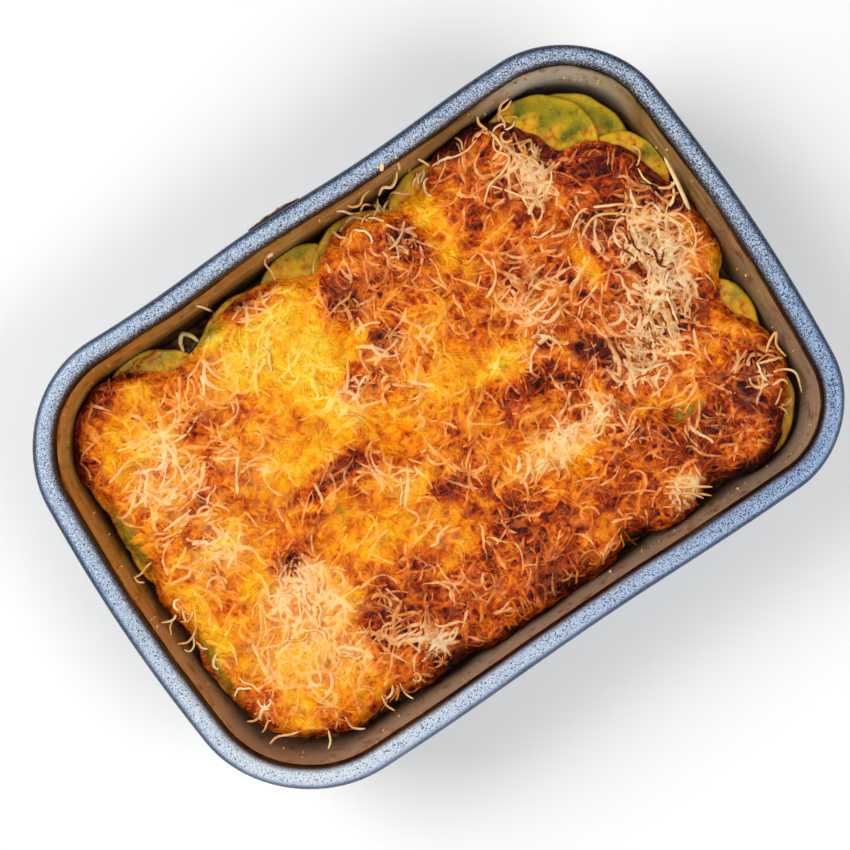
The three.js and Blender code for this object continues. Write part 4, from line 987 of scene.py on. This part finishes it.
# Dropped on the surface, or left out where a ray finds none
x_place, y_place, _ = put("SeparateXYZ", spot).outputs
ray = put("Raycast", given["Surface"], attribute=put("InputNamedAttribute", "brown"), ray_length=RAY_LENGTH,
          source_position=put("CombineXYZ", x_place, y_place, RAY_START), ray_direction=(0, 0, -1)).outputs
on_crust = put("Compare.GREATER_THAN", put("SeparateXYZ", ray["Hit Normal"]).outputs["Z"], LEAST_UPWARD)
flow = put("StoreNamedAttribute.BOOLEAN", flow, None, "lands", on_crust)
flow = put("SeparateGeometry", flow, put("InputNamedAttribute.BOOLEAN", "lands"), domain="CURVE")
flow = put("StoreNamedAttribute", flow, None, "under", ray["Attribute"])
to_end = put("Math.ABSOLUTE", put("Math.MULTIPLY", middle, 2))
hump = put("Math.SUBTRACT", 1, put("Math.POWER", to_end, 4))
rise = put("Math.MULTIPLY", put("Math.MULTIPLY", lie, given["Pile"]), hump)
rise = put("Math.SUBTRACT", rise, put("Math.MULTIPLY", put("Math.SUBTRACT", 1, hump), END_DIP))
flow = put("SetPosition", flow, position=put("VectorMath.ADD", ray["Hit Position"], put("CombineXYZ", 0, 0, rise)))

# Swept with a flat section that thins to the ends
flat = put("CombineXYZ", 1, given["Flatness"], 1)
profile = put("Transform", put("CurvePrimitiveCircle", resolution=SHRED_SIDES, radius=0.5), scale=flat)
taper = put("Math.MULTIPLY_ADD", put("Math.POWER", to_end, 5), -0.55, 1)
breadth = put("Math.MULTIPLY", put("Math.MULTIPLY", given["Width"], stout), taper)
swell = put("Math.MULTIPLY_ADD", put("TexNoise", spot, scale=per(10 / 3), detail=1), 1.2, 0.4)
flow = put("SetCurveNormal", flow, mode="Z_UP")
flow = put("CurveToMesh", flow, profile_curve=profile, scale=put("Math.MULTIPLY", breadth, swell), fill_caps=True)
flow = put("RealizeInstances", put("SetShadeSmooth", flow))
put("NodeGroupOutput", put("SetMaterial", flow, material=given["Material"]))
print("shred tree of", len(tree.nodes), "nodes")

# %% Lay the shreds
SHREDS = {  # where, and then a value for each of SIZES, in metres, and the seed
    "loose_cream_shreds": ("heap", 14000.0, 0.007, 0.017, 2.2, 0.00125, 0.5, 0.0013, 0.05, 0.3, 0.05, 0.4, 8),
    "scorched_shreds": ("scorched", 16000.0, 0.007, 0.02, 2.2, 0.0009, 0.5, 0.0009, 0.3, 0.95, 0.5, 0.9, 3)}

for name, values in SHREDS.items():
    carrier = bpy.data.objects.new(name, topping.data.copy())
    bpy.context.scene.collection.objects.link(carrier)
    modifier = carrier.modifiers.new("shreds", "NODES")
    modifier.node_group = shred_tree
    for key, value in zip(["Where", *SIZES, "Seed", "Material"], [*values, shred_cheese]):
        modifier[identifiers[key]] = value
    keep_evaluated(carrier)
    for spare in ("start", "hub", "sweep", "lie", "lands"):
        if spare in carrier.data.attributes:
            carrier.data.attributes.remove(carrier.data.attributes[spare])
    finish_piece(carrier, "browned_cheese")
    print(name, len(carrier.data.polygons), "faces")

# %% [markdown]
# ## The filling under the slices
# The potato below has shrunk from the wall and left a dark ditch, wet with sauce. It is one skin
# of rings, each drawn further in from the wall, so that the ditch follows the dish by itself.

# %% Filling
DITCH_STEPS = [0, 0.8, 2, 3.5, 5, 6.5, 8, 11, 16, 24, 34]

# Potato starch and cream with oil on top: dark between the slices, and wet.
baked_sauce, place = new_material("baked_sauce_and_potato")
lumps = put("TexNoise", place, scale=per(4), detail=4)
sauce = put("ValToRGB", lumps, stops=[(0.3, "2c1405"), (0.45, "5a3410"), (0.6, "8a6426"), (0.75, "b09444")])
finish_material(lumps, 0.8, sauce, 0.22, 1.4)


def lumpy(ring, size, depth, seed):
    ring[:, 2] -= depth * (1 + layered_noise(ring[:, 0], ring[:, 1], size, seed)) / 2
    return ring


ditch_foot = FILLING_TOP - FILLING_DITCH
fillet = np.linspace(FLOOR_Z, FLOOR_Z + FLOOR_FILLET, 6)
rings = [outline_ring(inner_inset(z) + WALL_GAP, z + WALL_GAP) for z in fillet]
rings.append(outline_ring(inner_inset(ditch_foot) + WALL_GAP, ditch_foot - 1.5))
for step in DITCH_STEPS:
    z = FILLING_TOP - FILLING_DITCH * smoothstep(DITCH_WIDTH, 1, step)
    rings.append(lumpy(outline_ring(inner_inset(z) + WALL_GAP + step, z), 5, 1.4, 101))
points, faces = loft(np.array(rings))
filling = make_piece("filling", points, faces, baked_sauce)
finish_piece(filling, "baked_filling", "potato_filling")

# %% [markdown]
# ## Bare slices of potato
# Round slices about 3 mm thick, curled a little like a saddle, with rounded edges. They overlap,
# so each is cut clear of those above it and of the wall by a Boolean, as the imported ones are.

# %% Slices
SLICE_SIDES = 80
SLICE_ROUNDING = 1.3
SLICE_UNEVEN = (0.025, 0.018)  # share of the radius, twice and three times round


def slice_mesh(row, grow):
    """Points and faces of one slice, made thicker and wider by grow."""
    x, y, radius, level, curl = row
    angles = np.arange(SLICE_SIDES) * TAU / SLICE_SIDES
    uneven = 1 + SLICE_UNEVEN[0] * np.sin(2 * angles + x) + SLICE_UNEVEN[1] * np.sin(3 * angles + y)
    uneven = uneven + 0.01 * np.sin(7 * angles + 2 * x) + 0.007 * np.sin(12 * angles + 3 * y)
    half = SLICE_THICKNESS / 2 + grow
    profile = [(0.4 * radius, -half), (0.1 * radius, -half)]
    for t in np.linspace(-TAU / 4, TAU / 4, 9):
        profile.append((SLICE_ROUNDING * (1 - math.cos(t)) - grow, half * math.sin(t)))
    profile += [(share * radius, half) for share in (0.09, 0.14, 0.2, 0.28, 0.38, 0.5, 0.65, 0.8)]
    rings = []
    for inset, height in profile:
        reach = radius * uneven - inset
        ring_x, ring_y = x + reach * np.cos(angles), y + reach * np.sin(angles)
        z = level + SLICE_THICKNESS / 2 + height + curl * (1 + (reach / radius) ** 2 * np.cos(2 * angles + x))
        z = z + 0.35 * smoothstep(7, 1, inset) * np.sin(9 * angles + x + y)
        if height > 0 and not grow:
            z = z - 0.25 * (1 + noise(ring_x, ring_y, 6, 111)) * smoothstep(0.5, 4, inset)
        rings.append(np.stack([ring_x, ring_y, z], 1))
    return loft(np.array(rings))


def largest_part(mesh):
    """Deletes what a cut left loose, apart from the largest part."""
    work = bmesh.new()
    work.from_mesh(mesh)
    left, parts = set(work.verts), []
    while left:
        part, edge = set(), [left.pop()]
        while edge:
            vertex = edge.pop()
            part.add(vertex)
            for link in vertex.link_edges:
                other = link.other_vert(vertex)
                if other in left:
                    left.discard(other)
                    edge.append(other)
        parts.append(part)
    biggest = max(parts, key=len)
    bmesh.ops.delete(work, geom=[vertex for vertex in work.verts if vertex not in biggest], context="VERTS")
    work.to_mesh(mesh)
    work.free()


def carve(piece, operation, **operand):
    modifier = piece.modifiers.new(operation.lower(), "BOOLEAN")
    modifier.operation, modifier.solver = operation, "MANIFOLD"
    for key, value in operand.items():
        setattr(modifier, key, value)


# Boiled and baked potato: starch full of water, so light sinks in and comes out yellow-green;
# the rim of a slice dries to a clear yellow, and oil makes the rest glossy.
baked_potato, place = new_material("baked_potato_slice")
edge, film = [put("Attribute", attribute_name=name).outputs["Fac"] for name in ("edge", "film")]
cloudy = put("TexNoise", place, scale=per(8), detail=3)
potato = put("ValToRGB", put("Math.MULTIPLY_ADD", cloudy, 1, edge), stops=[
    (0.25, "525006"), (0.45, "807808"), (0.62, "a08c08"), (0.82, "c09c0c"), (1, "d8ac14")])
scorch = put("TexNoise", place, scale=per(3.2), detail=3)
film_colour = put("ValToRGB", scorch, stops=[(0.3, "dcb81e"), (0.5, "dca012"), (0.64, "c46a0c"), (0.8, "7d3006")])
fine = put("TexNoise", place, scale=per(1.2), detail=3)
for amount, colour in [
        (put("MapRange", scorch, 0.6, 0.72, 0, 0.6), paint("6a3a06")),  # scorched spots
        (put("MapRange", put("Math.MULTIPLY_ADD", cloudy, 1.4, film), 1.25, 1.65), film_colour),  # fat and cheese
        (put("MapRange", fine, 0.58, 0.68, 0, 0.3), paint("dcc02c"))]:  # grains of starch, also painted highlights on the flesh
    potato = put("Mix.RGBA", amount, potato, colour)
finish_material(fine, 0.2, potato, 0.24, 1.42, sink=(0.2, (1, 0.8, 0.2), 4), coat_weight=0.25, coat_roughness=0.1)

room = make_piece("room", *loft(np.array([outline_ring(inner_inset(z) + WALL_GAP, z) for z in (25, 35, 45, 53)])))
taken = bpy.data.collections.new("slices_above")
slices = []
for number, row in enumerate(BARE_SLICES, 1):
    piece = make_piece(f"baked_slice_{number:02d}", *slice_mesh(row, 0), baked_potato)
    carve(piece, "INTERSECT", object=room)
    if number > 1:
        carve(piece, "DIFFERENCE", operand_type="COLLECTION", collection=taken)
    keep_evaluated(piece)
    largest_part(piece.data)
    piece.data.set_sharp_from_angle(angle=math.radians(50))
    spots = np.array([vertex.co[:2] for vertex in piece.data.vertices]) / MM
    rim_share = np.hypot(spots[:, 0] - row[0], spots[:, 1] - row[1]) / row[2]
    set_values(piece.data, edge=smoothstep(0.8, 1, rim_share).astype(np.float32) * 0.3,
               film=smoothstep(15, 0, edge_distance(spots[:, 0], spots[:, 1])))
    taken.objects.link(make_piece(f"taken_{number:02d}", *slice_mesh(row, GAP)))
    finish_piece(piece, "baked_potato", f"potato_slice_{number:02d}")
    slices.append(piece)
for helper in [room, *taken.objects]:
    bpy.data.objects.remove(helper)
bpy.data.collections.remove(taken)

# %% [markdown]
# ## Strands one by one
# Some shreds can't lie on the crust: they bridge the gap, cling to the wall or hang over the
# edge. Each is a smooth curve through a few places, swept with a flat rounded section. A ray
# cast down on the finished pieces gives the height where a strand rests on one.

# %% Ground under a place
def upper_surface(pieces):
    points, faces = [], []
    for piece in pieces:
        faces += [[len(points) + i for i in face.vertices] for face in piece.data.polygons]
        points += [vertex.co[:] for vertex in piece.data.vertices]
    return BVHTree.FromPolygons(points, faces)


surface = upper_surface([dish, filling, topping, *slices])


def ground(x, y):
    """Height of what lies under a place, in millimetres."""
    hit = surface.ray_cast(Vector((x * MM, y * MM, 0.1)), Vector((0, 0, -1)))[0]
    return hit.z / MM if hit else 0.0


def smooth_curve(knots, steps):
    """Points on a smooth curve through the knots."""
    knots = np.array([knots[0], *knots, knots[-1]], dtype=float)
    points = []
    for a, b, c, d in zip(knots, knots[1:], knots[2:], knots[3:]):
        for t in np.arange(steps) / steps:
            cubic = (2 * a - 5 * b + 4 * c - d) * t**2 + (3 * b - a - 3 * c + d) * t**3
            points.append((2 * b + (c - a) * t + cubic) / 2)
    return np.array([*points, knots[-1]])


def strand(knots, width, thickness, sides=8, steps=5):
    """Points and faces of a tapered strand."""
    line = smooth_curve(knots, steps)
    heading = np.gradient(line, axis=0)
    heading /= np.linalg.norm(heading, axis=1)[:, None]
    side = np.cross([0, 0, 1], heading)
    side /= np.maximum(np.linalg.norm(side, axis=1)[:, None], 1e-6)
    upward = np.cross(heading, side)
    ends = np.abs(np.linspace(-1, 1, len(line)))
    taper = (1 - 0.6 * ends**4)[:, None, None]
    angles = np.arange(sides) * TAU / sides
    across = np.cos(angles)[None, :, None] * side[:, None] * width / 2
    up = np.sin(angles)[None, :, None] * upward[:, None] * thickness / 2
    return loft(line[:, None] + (across + up) * taper)


def make_skins(name, skins, tones, **values):
    """Many small skins as one piece of cheese, each toasted by its own tone."""
    points, faces = [], []
    for skin_points, skin_faces in skins:
        faces += [[len(points) + i for i in face] for face in skin_faces]
        points += list(skin_points)
    toast = np.repeat(tones, [len(skin[0]) for skin in skins])
    finish_piece(make_piece(name, points, faces, shred_cheese, toast=toast, **values), "browned_cheese")


print("ground in the middle:", round(ground(0, 0), 1), "mm")

# %% Strands at the wall and over the edge
# Knots are x, y and height. A height of 0 rests on what is below.
PLACED = [
    (1.4, [(-54, 92, 48.5), (-52, 90, 45.5), (-50, 87, 0), (-48.5, 84, 0)]),
    (1.1, [(-22, 83, 0), (-21.3, 87, 43), (-21.6, 90.6, 45), (-20.4, 92, 47.5)]),
    (2.2, [(-19.5, 92, 48.8), (-18, 92.2, 49.2), (-16.6, 92, 48.8)]),
    (1.5, [(14, 92, 48), (16.5, 90.6, 46), (19, 88.5, 0), (22, 87, 0)]),
    (1.4, [(19, 91.7, 48), (20.5, 90, 45.6), (23.5, 89.2, 45), (26.5, 91, 47), (30, 91.5, 48)]),
    (1.3, [(22, 87, 0), (25, 88.3, 44), (28.5, 87, 0), (30, 84, 0)]),
    (1.7, [(32, 88, 44), (35, 89.6, 45.6), (38, 88, 44.6), (41, 89.2, 46), (43, 91.3, 48.5)]),
    (1.5, [(34, 85, 0), (37.5, 86.5, 0), (40, 84.5, 0), (43, 82, 0)]),
    (2.2, [(37.6, 93.9, 0), (38.6, 95, 0), (39.4, 96.2, 0)]),
    (1.8, [(44.4, 91.3, 49.5), (45, 93.3, 54.4), (45.4, 95.4, 0)]),
    (1.4, [(53, 91, 48.5), (54.5, 89, 45.6), (55.8, 86.5, 0)]),
    (1.5, [(89, 86, 0), (90.5, 88, 45.6), (93, 90.4, 48), (97, 90.6, 49)]),
    (1.2, [(91, 88.6, 46.4), (94, 88.4, 45.6), (97.5, 89.6, 47)]),
    (1.7, [(84, 76, 0), (84, 81, 0), (82.5, 86, 0), (81.6, 89.5, 46), (82.4, 91.6, 48.5)]),
    (1.2, [(70, 84, 0), (71.5, 87.4, 0), (70.4, 90, 46)]),
    (1.2, [(62, 85, 0), (67, 83.4, 0), (72, 83, 0), (77, 84.4, 0)]),
    (2.2, [(132.4, 9, 40), (133.6, 17, 44), (134.6, 26, 47), (135.4, 36, 49.5)]),
    (1.8, [(134.6, 26, 47), (131, 25, 45), (127, 27.5, 0)]),
    (1.5, [(126, -52, 0), (130, -49, 45), (133.5, -47.5, 48), (131.5, -52, 44), (132.3, -58, 43)]),
    (1.3, [(124, -60, 0), (129, -62, 43.5), (131.5, -66, 45), (129.5, -74, 42)]),
    (1.2, [(-127, 16.4, 0), (-130, 16.2, 43), (-133.4, 15, 44), (-136.6, 15.4, 45)]),
    (1.1, [(-136, 15.2, 45), (-136, 13, 44), (-134.2, 11.4, 42.4)]),
    (1.3, [(-125, -7, 0), (-129, -6, 43.4), (-133, -7.6, 44), (-137.2, -5.8, 46)]),
    (1.1, [(-133, -7.6, 44), (-135.6, -9.4, 43), (-137, -12.4, 43.4)]),
    (1.2, [(-126, -15, 0), (-130, -17.6, 42.6), (-133.6, -18.4, 42), (-136.6, -16.6, 44.6)]),
    (1.1, [(-130, -17.6, 42.6), (-132, -21, 41), (-134.6, -22, 42), (-136, -20.2, 43)]),
    (1.3, [(-112, -74, 0), (-119, -73, 42), (-124.4, -70.5, 43), (-128.4, -71, 45)]),
    (1.2, [(-118, -56, 0), (-124, -59, 42), (-128, -60, 42.6), (-131, -58.4, 44)]),
    (1.2, [(-106, -80, 0), (-107.6, -84, 42.4), (-110, -86, 43.4)]),
    (1.2, [(-97, -79, 0), (-97.4, -84, 41.6), (-95, -86.6, 42.4), (-93, -87.6, 43)]),
    (1.1, [(-80, -80, 0), (-80.8, -84.6, 41.6), (-79, -88.4, 43)]),
    (1.1, [(-71, -80, 0), (-71.8, -85, 41.4), (-70.2, -88.6, 43)]),
    (1.4, [(62, -74, 0), (68, -78.4, 0), (73, -81.5, 0), (78, -85, 44)]),
    (1.3, [(60, -76, 0), (66, -80, 0), (71.6, -84, 0), (76, -88, 43)]),
    (1.2, [(64, -79, 0), (69, -82, 0), (72.6, -87, 43)]),
    (1.5, [(87, 32, 0), (96, 37, 0), (106, 33, 0), (114, 28, 0), (123, 17, 0), (127, 8, 0)]),
    (1.4, [(90, 28, 0), (100, 32, 0), (112, 24, 0), (120, 12, 0)]),
    (1.3, [(84, 82, 0), (81, 77, 0), (84, 71, 0), (78, 67.5, 0), (71, 66, 0), (65, 61, 0)]),
    (1.2, [(71, 66, 0), (76, 60, 0), (80.5, 54, 0), (87, 51, 0), (93, 54, 0), (96, 59, 0)]),
    (1.2, [(88, 70, 0), (92, 63, 0), (90, 55, 0), (86, 49, 0)]),
    (1.3, [(122, 17, 0), (128, 14.4, 0), (130, 8, 0), (127.6, 1, 0), (123, -2, 0)])]
# Fringes: start and end along the edge, outward direction, how many, tones and seed
FRINGES = [
    ((10, 86), (60, 87), (0, 1), 16, (0.0, 0.25), 21), ((66, 88), (97, 85), (0, 1), 8, (0.0, 0.5), 22),
    ((-30, -85), (30, -86), (0, -1), 15, (0.5, 0.8), 23), ((-80, -83), (-56, -84), (0, -1), 9, (0.1, 0.6), 24),
    ((-129, -30), (-128, 0), (-1, 0), 6, (0.0, 0.4), 25), ((-126, -66), (-123, -42), (-1, -0.3), 7, (0.0, 0.3), 26),
    ((127, -44), (121, -74), (1, -0.2), 7, (0.05, 0.5), 27), ((34, -85), (70, -85), (0, -1), 8, (0.4, 0.8), 28),
    ((129, -4), (129, 40), (1, 0), 8, (0.1, 0.6), 29), ((-116, 84), (-84, 88), (0, 1), 8, (0.5, 0.85), 30)]
LIFT = 0.4


def rest(knots):
    return [(x, y, z or ground(x, y) + LIFT) for x, y, z in knots]


def fringe(random, start, outward):
    """Knots of a curl that leaves the edge and droops where nothing carries it."""
    heading = math.atan2(outward[1], outward[0]) + random.normal(0, 0.7)
    turn = random.normal(0, 0.2)
    x, y = start
    knots = [(x, y, ground(x, y) + LIFT)]
    for _ in range(random.integers(5, 10)):
        heading += turn + random.normal(0, 0.25)
        x, y = x + 1.2 * math.cos(heading), y + 1.2 * math.sin(heading)
        level = ground(x, y) + LIFT
        if level > knots[-1][2] + 2 or wall_distance(x, y) < 0.8:
            break
        knots.append((x, y, max(level, knots[-1][2] - 0.7)))
    return knots


tones = [0.02 if width > 2 else 0.1 + 0.2 * abs(math.sin(index)) for index, (width, _) in enumerate(PLACED)]
skins = [strand(rest(knots), width * 0.8, 0.6 * width if width < 2 else 1.1) for width, knots in PLACED]
for start, end, outward, count, tone_range, seed in FRINGES:
    random = np.random.default_rng(seed)
    start, end, outward = np.array(start), np.array(end), np.array(outward)
    for _ in range(count):
        root = start + (end - start) * random.random() - outward * random.uniform(1, 5)
        knots = fringe(random, root, outward)
        if len(knots) > 3:
            skins.append(strand(knots, random.uniform(0.7, 1.2), random.uniform(0.5, 0.7), steps=3))
            tones.append(random.uniform(*tone_range))
make_skins("loose_strands", skins, tones, under=np.full(sum(len(skin[0]) for skin in skins), 0.5))

# %% [markdown]
# ## Sauce that ran over
# At the back a little sauce boiled over the rim, ran down outside and baked on as a brown crust.
# It follows the section of the dish, a hair's breadth off it, and is thickest in the middle.

# %% Baked-on drip
DRIP_ENDS = (-19.5, 4.5)
DRIP_TOP, DRIP_LENGTH = 56.6, 11.4
DRIP_GAP, DRIP_THICKNESS = 0.15, 1.5
outer_insets, outer_levels, _ = zip(*[row for row in section if -55 < row[2] < 2])
rings = []
for x in np.linspace(*DRIP_ENDS, 80):
    share = (x - DRIP_ENDS[0]) / (DRIP_ENDS[1] - DRIP_ENDS[0])
    swell = math.sin(math.pi * (0.02 + 0.96 * share)) ** 0.6
    runs = 0.78 + 0.14 * math.sin(TAU * x / 11 + 1.2) + 0.05 * math.sin(TAU * x / 4.3)
    drip_z = DRIP_TOP - DRIP_LENGTH * swell * runs * (1 - np.linspace(0, 1, 24))
    dome = np.sin(np.pi * np.linspace(0.02, 0.9, 24)) ** 0.6
    wall = HALF_WIDTH - np.interp(drip_z, outer_levels, outer_insets)
    wall = wall + waver(np.full_like(wall, x), wall) + DRIP_GAP
    lumps = 1 + 0.3 * layered_noise(np.full_like(wall, x), drip_z, 3, 141)
    outer = wall + 0.05 + DRIP_THICKNESS * swell * dome * lumps * 0.8
    inner_side, outer_side = [np.stack([np.full_like(wall, x), side, drip_z], 1) for side in (wall, outer)]
    rings.append(np.concatenate([inner_side, outer_side[::-1]]))
points, faces = loft(np.array(rings[::-1]))

# Burnt sauce: sugar and starch baked to a thin glossy crust, dark where it is thick.
burnt_sauce, place = new_material("baked_on_sauce")
lumps = put("TexNoise", place, scale=per(2), detail=4)
sauce = put("ValToRGB", lumps, stops=[(0.32, "2c1608"), (0.5, "5e3414"), (0.68, "94602c")])
finish_material(lumps, 0.4, sauce, 0.35, 1.5)
drip = make_piece("drip", points, faces, burnt_sauce)
finish_piece(drip, "baked_on_sauce", "baked_on_drip")

# %% [markdown]
# ## Crumbs and a lost shred
# Bits of cheese and crust fell on the wall, into the ditch and on the crust while it was filled
# and baked. Each could be shaped by hand, but at a millimetre an uneven lump of five rings is
# enough, put on a random place. One shred lies whole in the gap and is drawn like the others.

# %% Crumbs
CRUMBS = 170


def crumb(random, middle, size):
    """A small uneven lump."""
    rings = []
    for tilt in (-1.2, -0.6, 0, 0.6, 1.2):
        angles = np.arange(7) * TAU / 7 + random.uniform(0, 0.4)
        reach = size / 2 * math.cos(tilt) * random.uniform(0.6, 1.3, 7)
        height = np.full(7, size * 0.4 * math.sin(tilt))
        rings.append(np.stack([reach * np.cos(angles), reach * np.sin(angles), height], 1))
    return loft(np.array(rings) + middle)


random = np.random.default_rng(5)
skins, tones = [], []
for number in range(CRUMBS):
    size = random.uniform(0.5, 1.3)
    if number % 3:
        z = random.uniform(40, 54)
        around = outline_ring(inner_inset(z) + 0.25 * size, z)
        place_on = around[random.integers(len(around))]
        tones.append(random.uniform(0.1, 0.95))
    else:
        x, y = random.uniform(-125, 125), random.uniform(-82, 82)
        place_on = np.array([x, y, ground(x, y) + 0.15 * size])
        size *= 0.7
        tones.append(random.uniform(0.8, 1.0))
    skins.append(crumb(random, place_on, size))
make_skins("crumbs", skins, tones)

# %% Curled strand at the back wall
STRAND_POINTS = [(-69, 80.2, 39.9), (-68, 84, 39.6), (-65.6, 86.4, 39.3), (-63, 84, 39.6), (-61.6, 80.2, 40.6)]
curl_points, curl_faces = strand(STRAND_POINTS, 1.9, 1.9, sides=14, steps=10)
# A shred that took up oil in the gap: pale, glossy and a little clear.
pale_curl, place = new_material("oiled_cheese_strand")
dull = put("TexNoise", place, scale=per(3), detail=2)
curl_colour = put("ValToRGB", dull, stops=[(0.35, "a89a58"), (0.6, "d2c184")])
finish_material(dull, 0.1, curl_colour, 0.3, 1.45, sink=(0.2, (1, 0.8, 0.4), 2))
curl = make_piece("oiled_strand", curl_points, curl_faces, pale_curl)
finish_piece(curl, "pale_strand", "curled_strand")
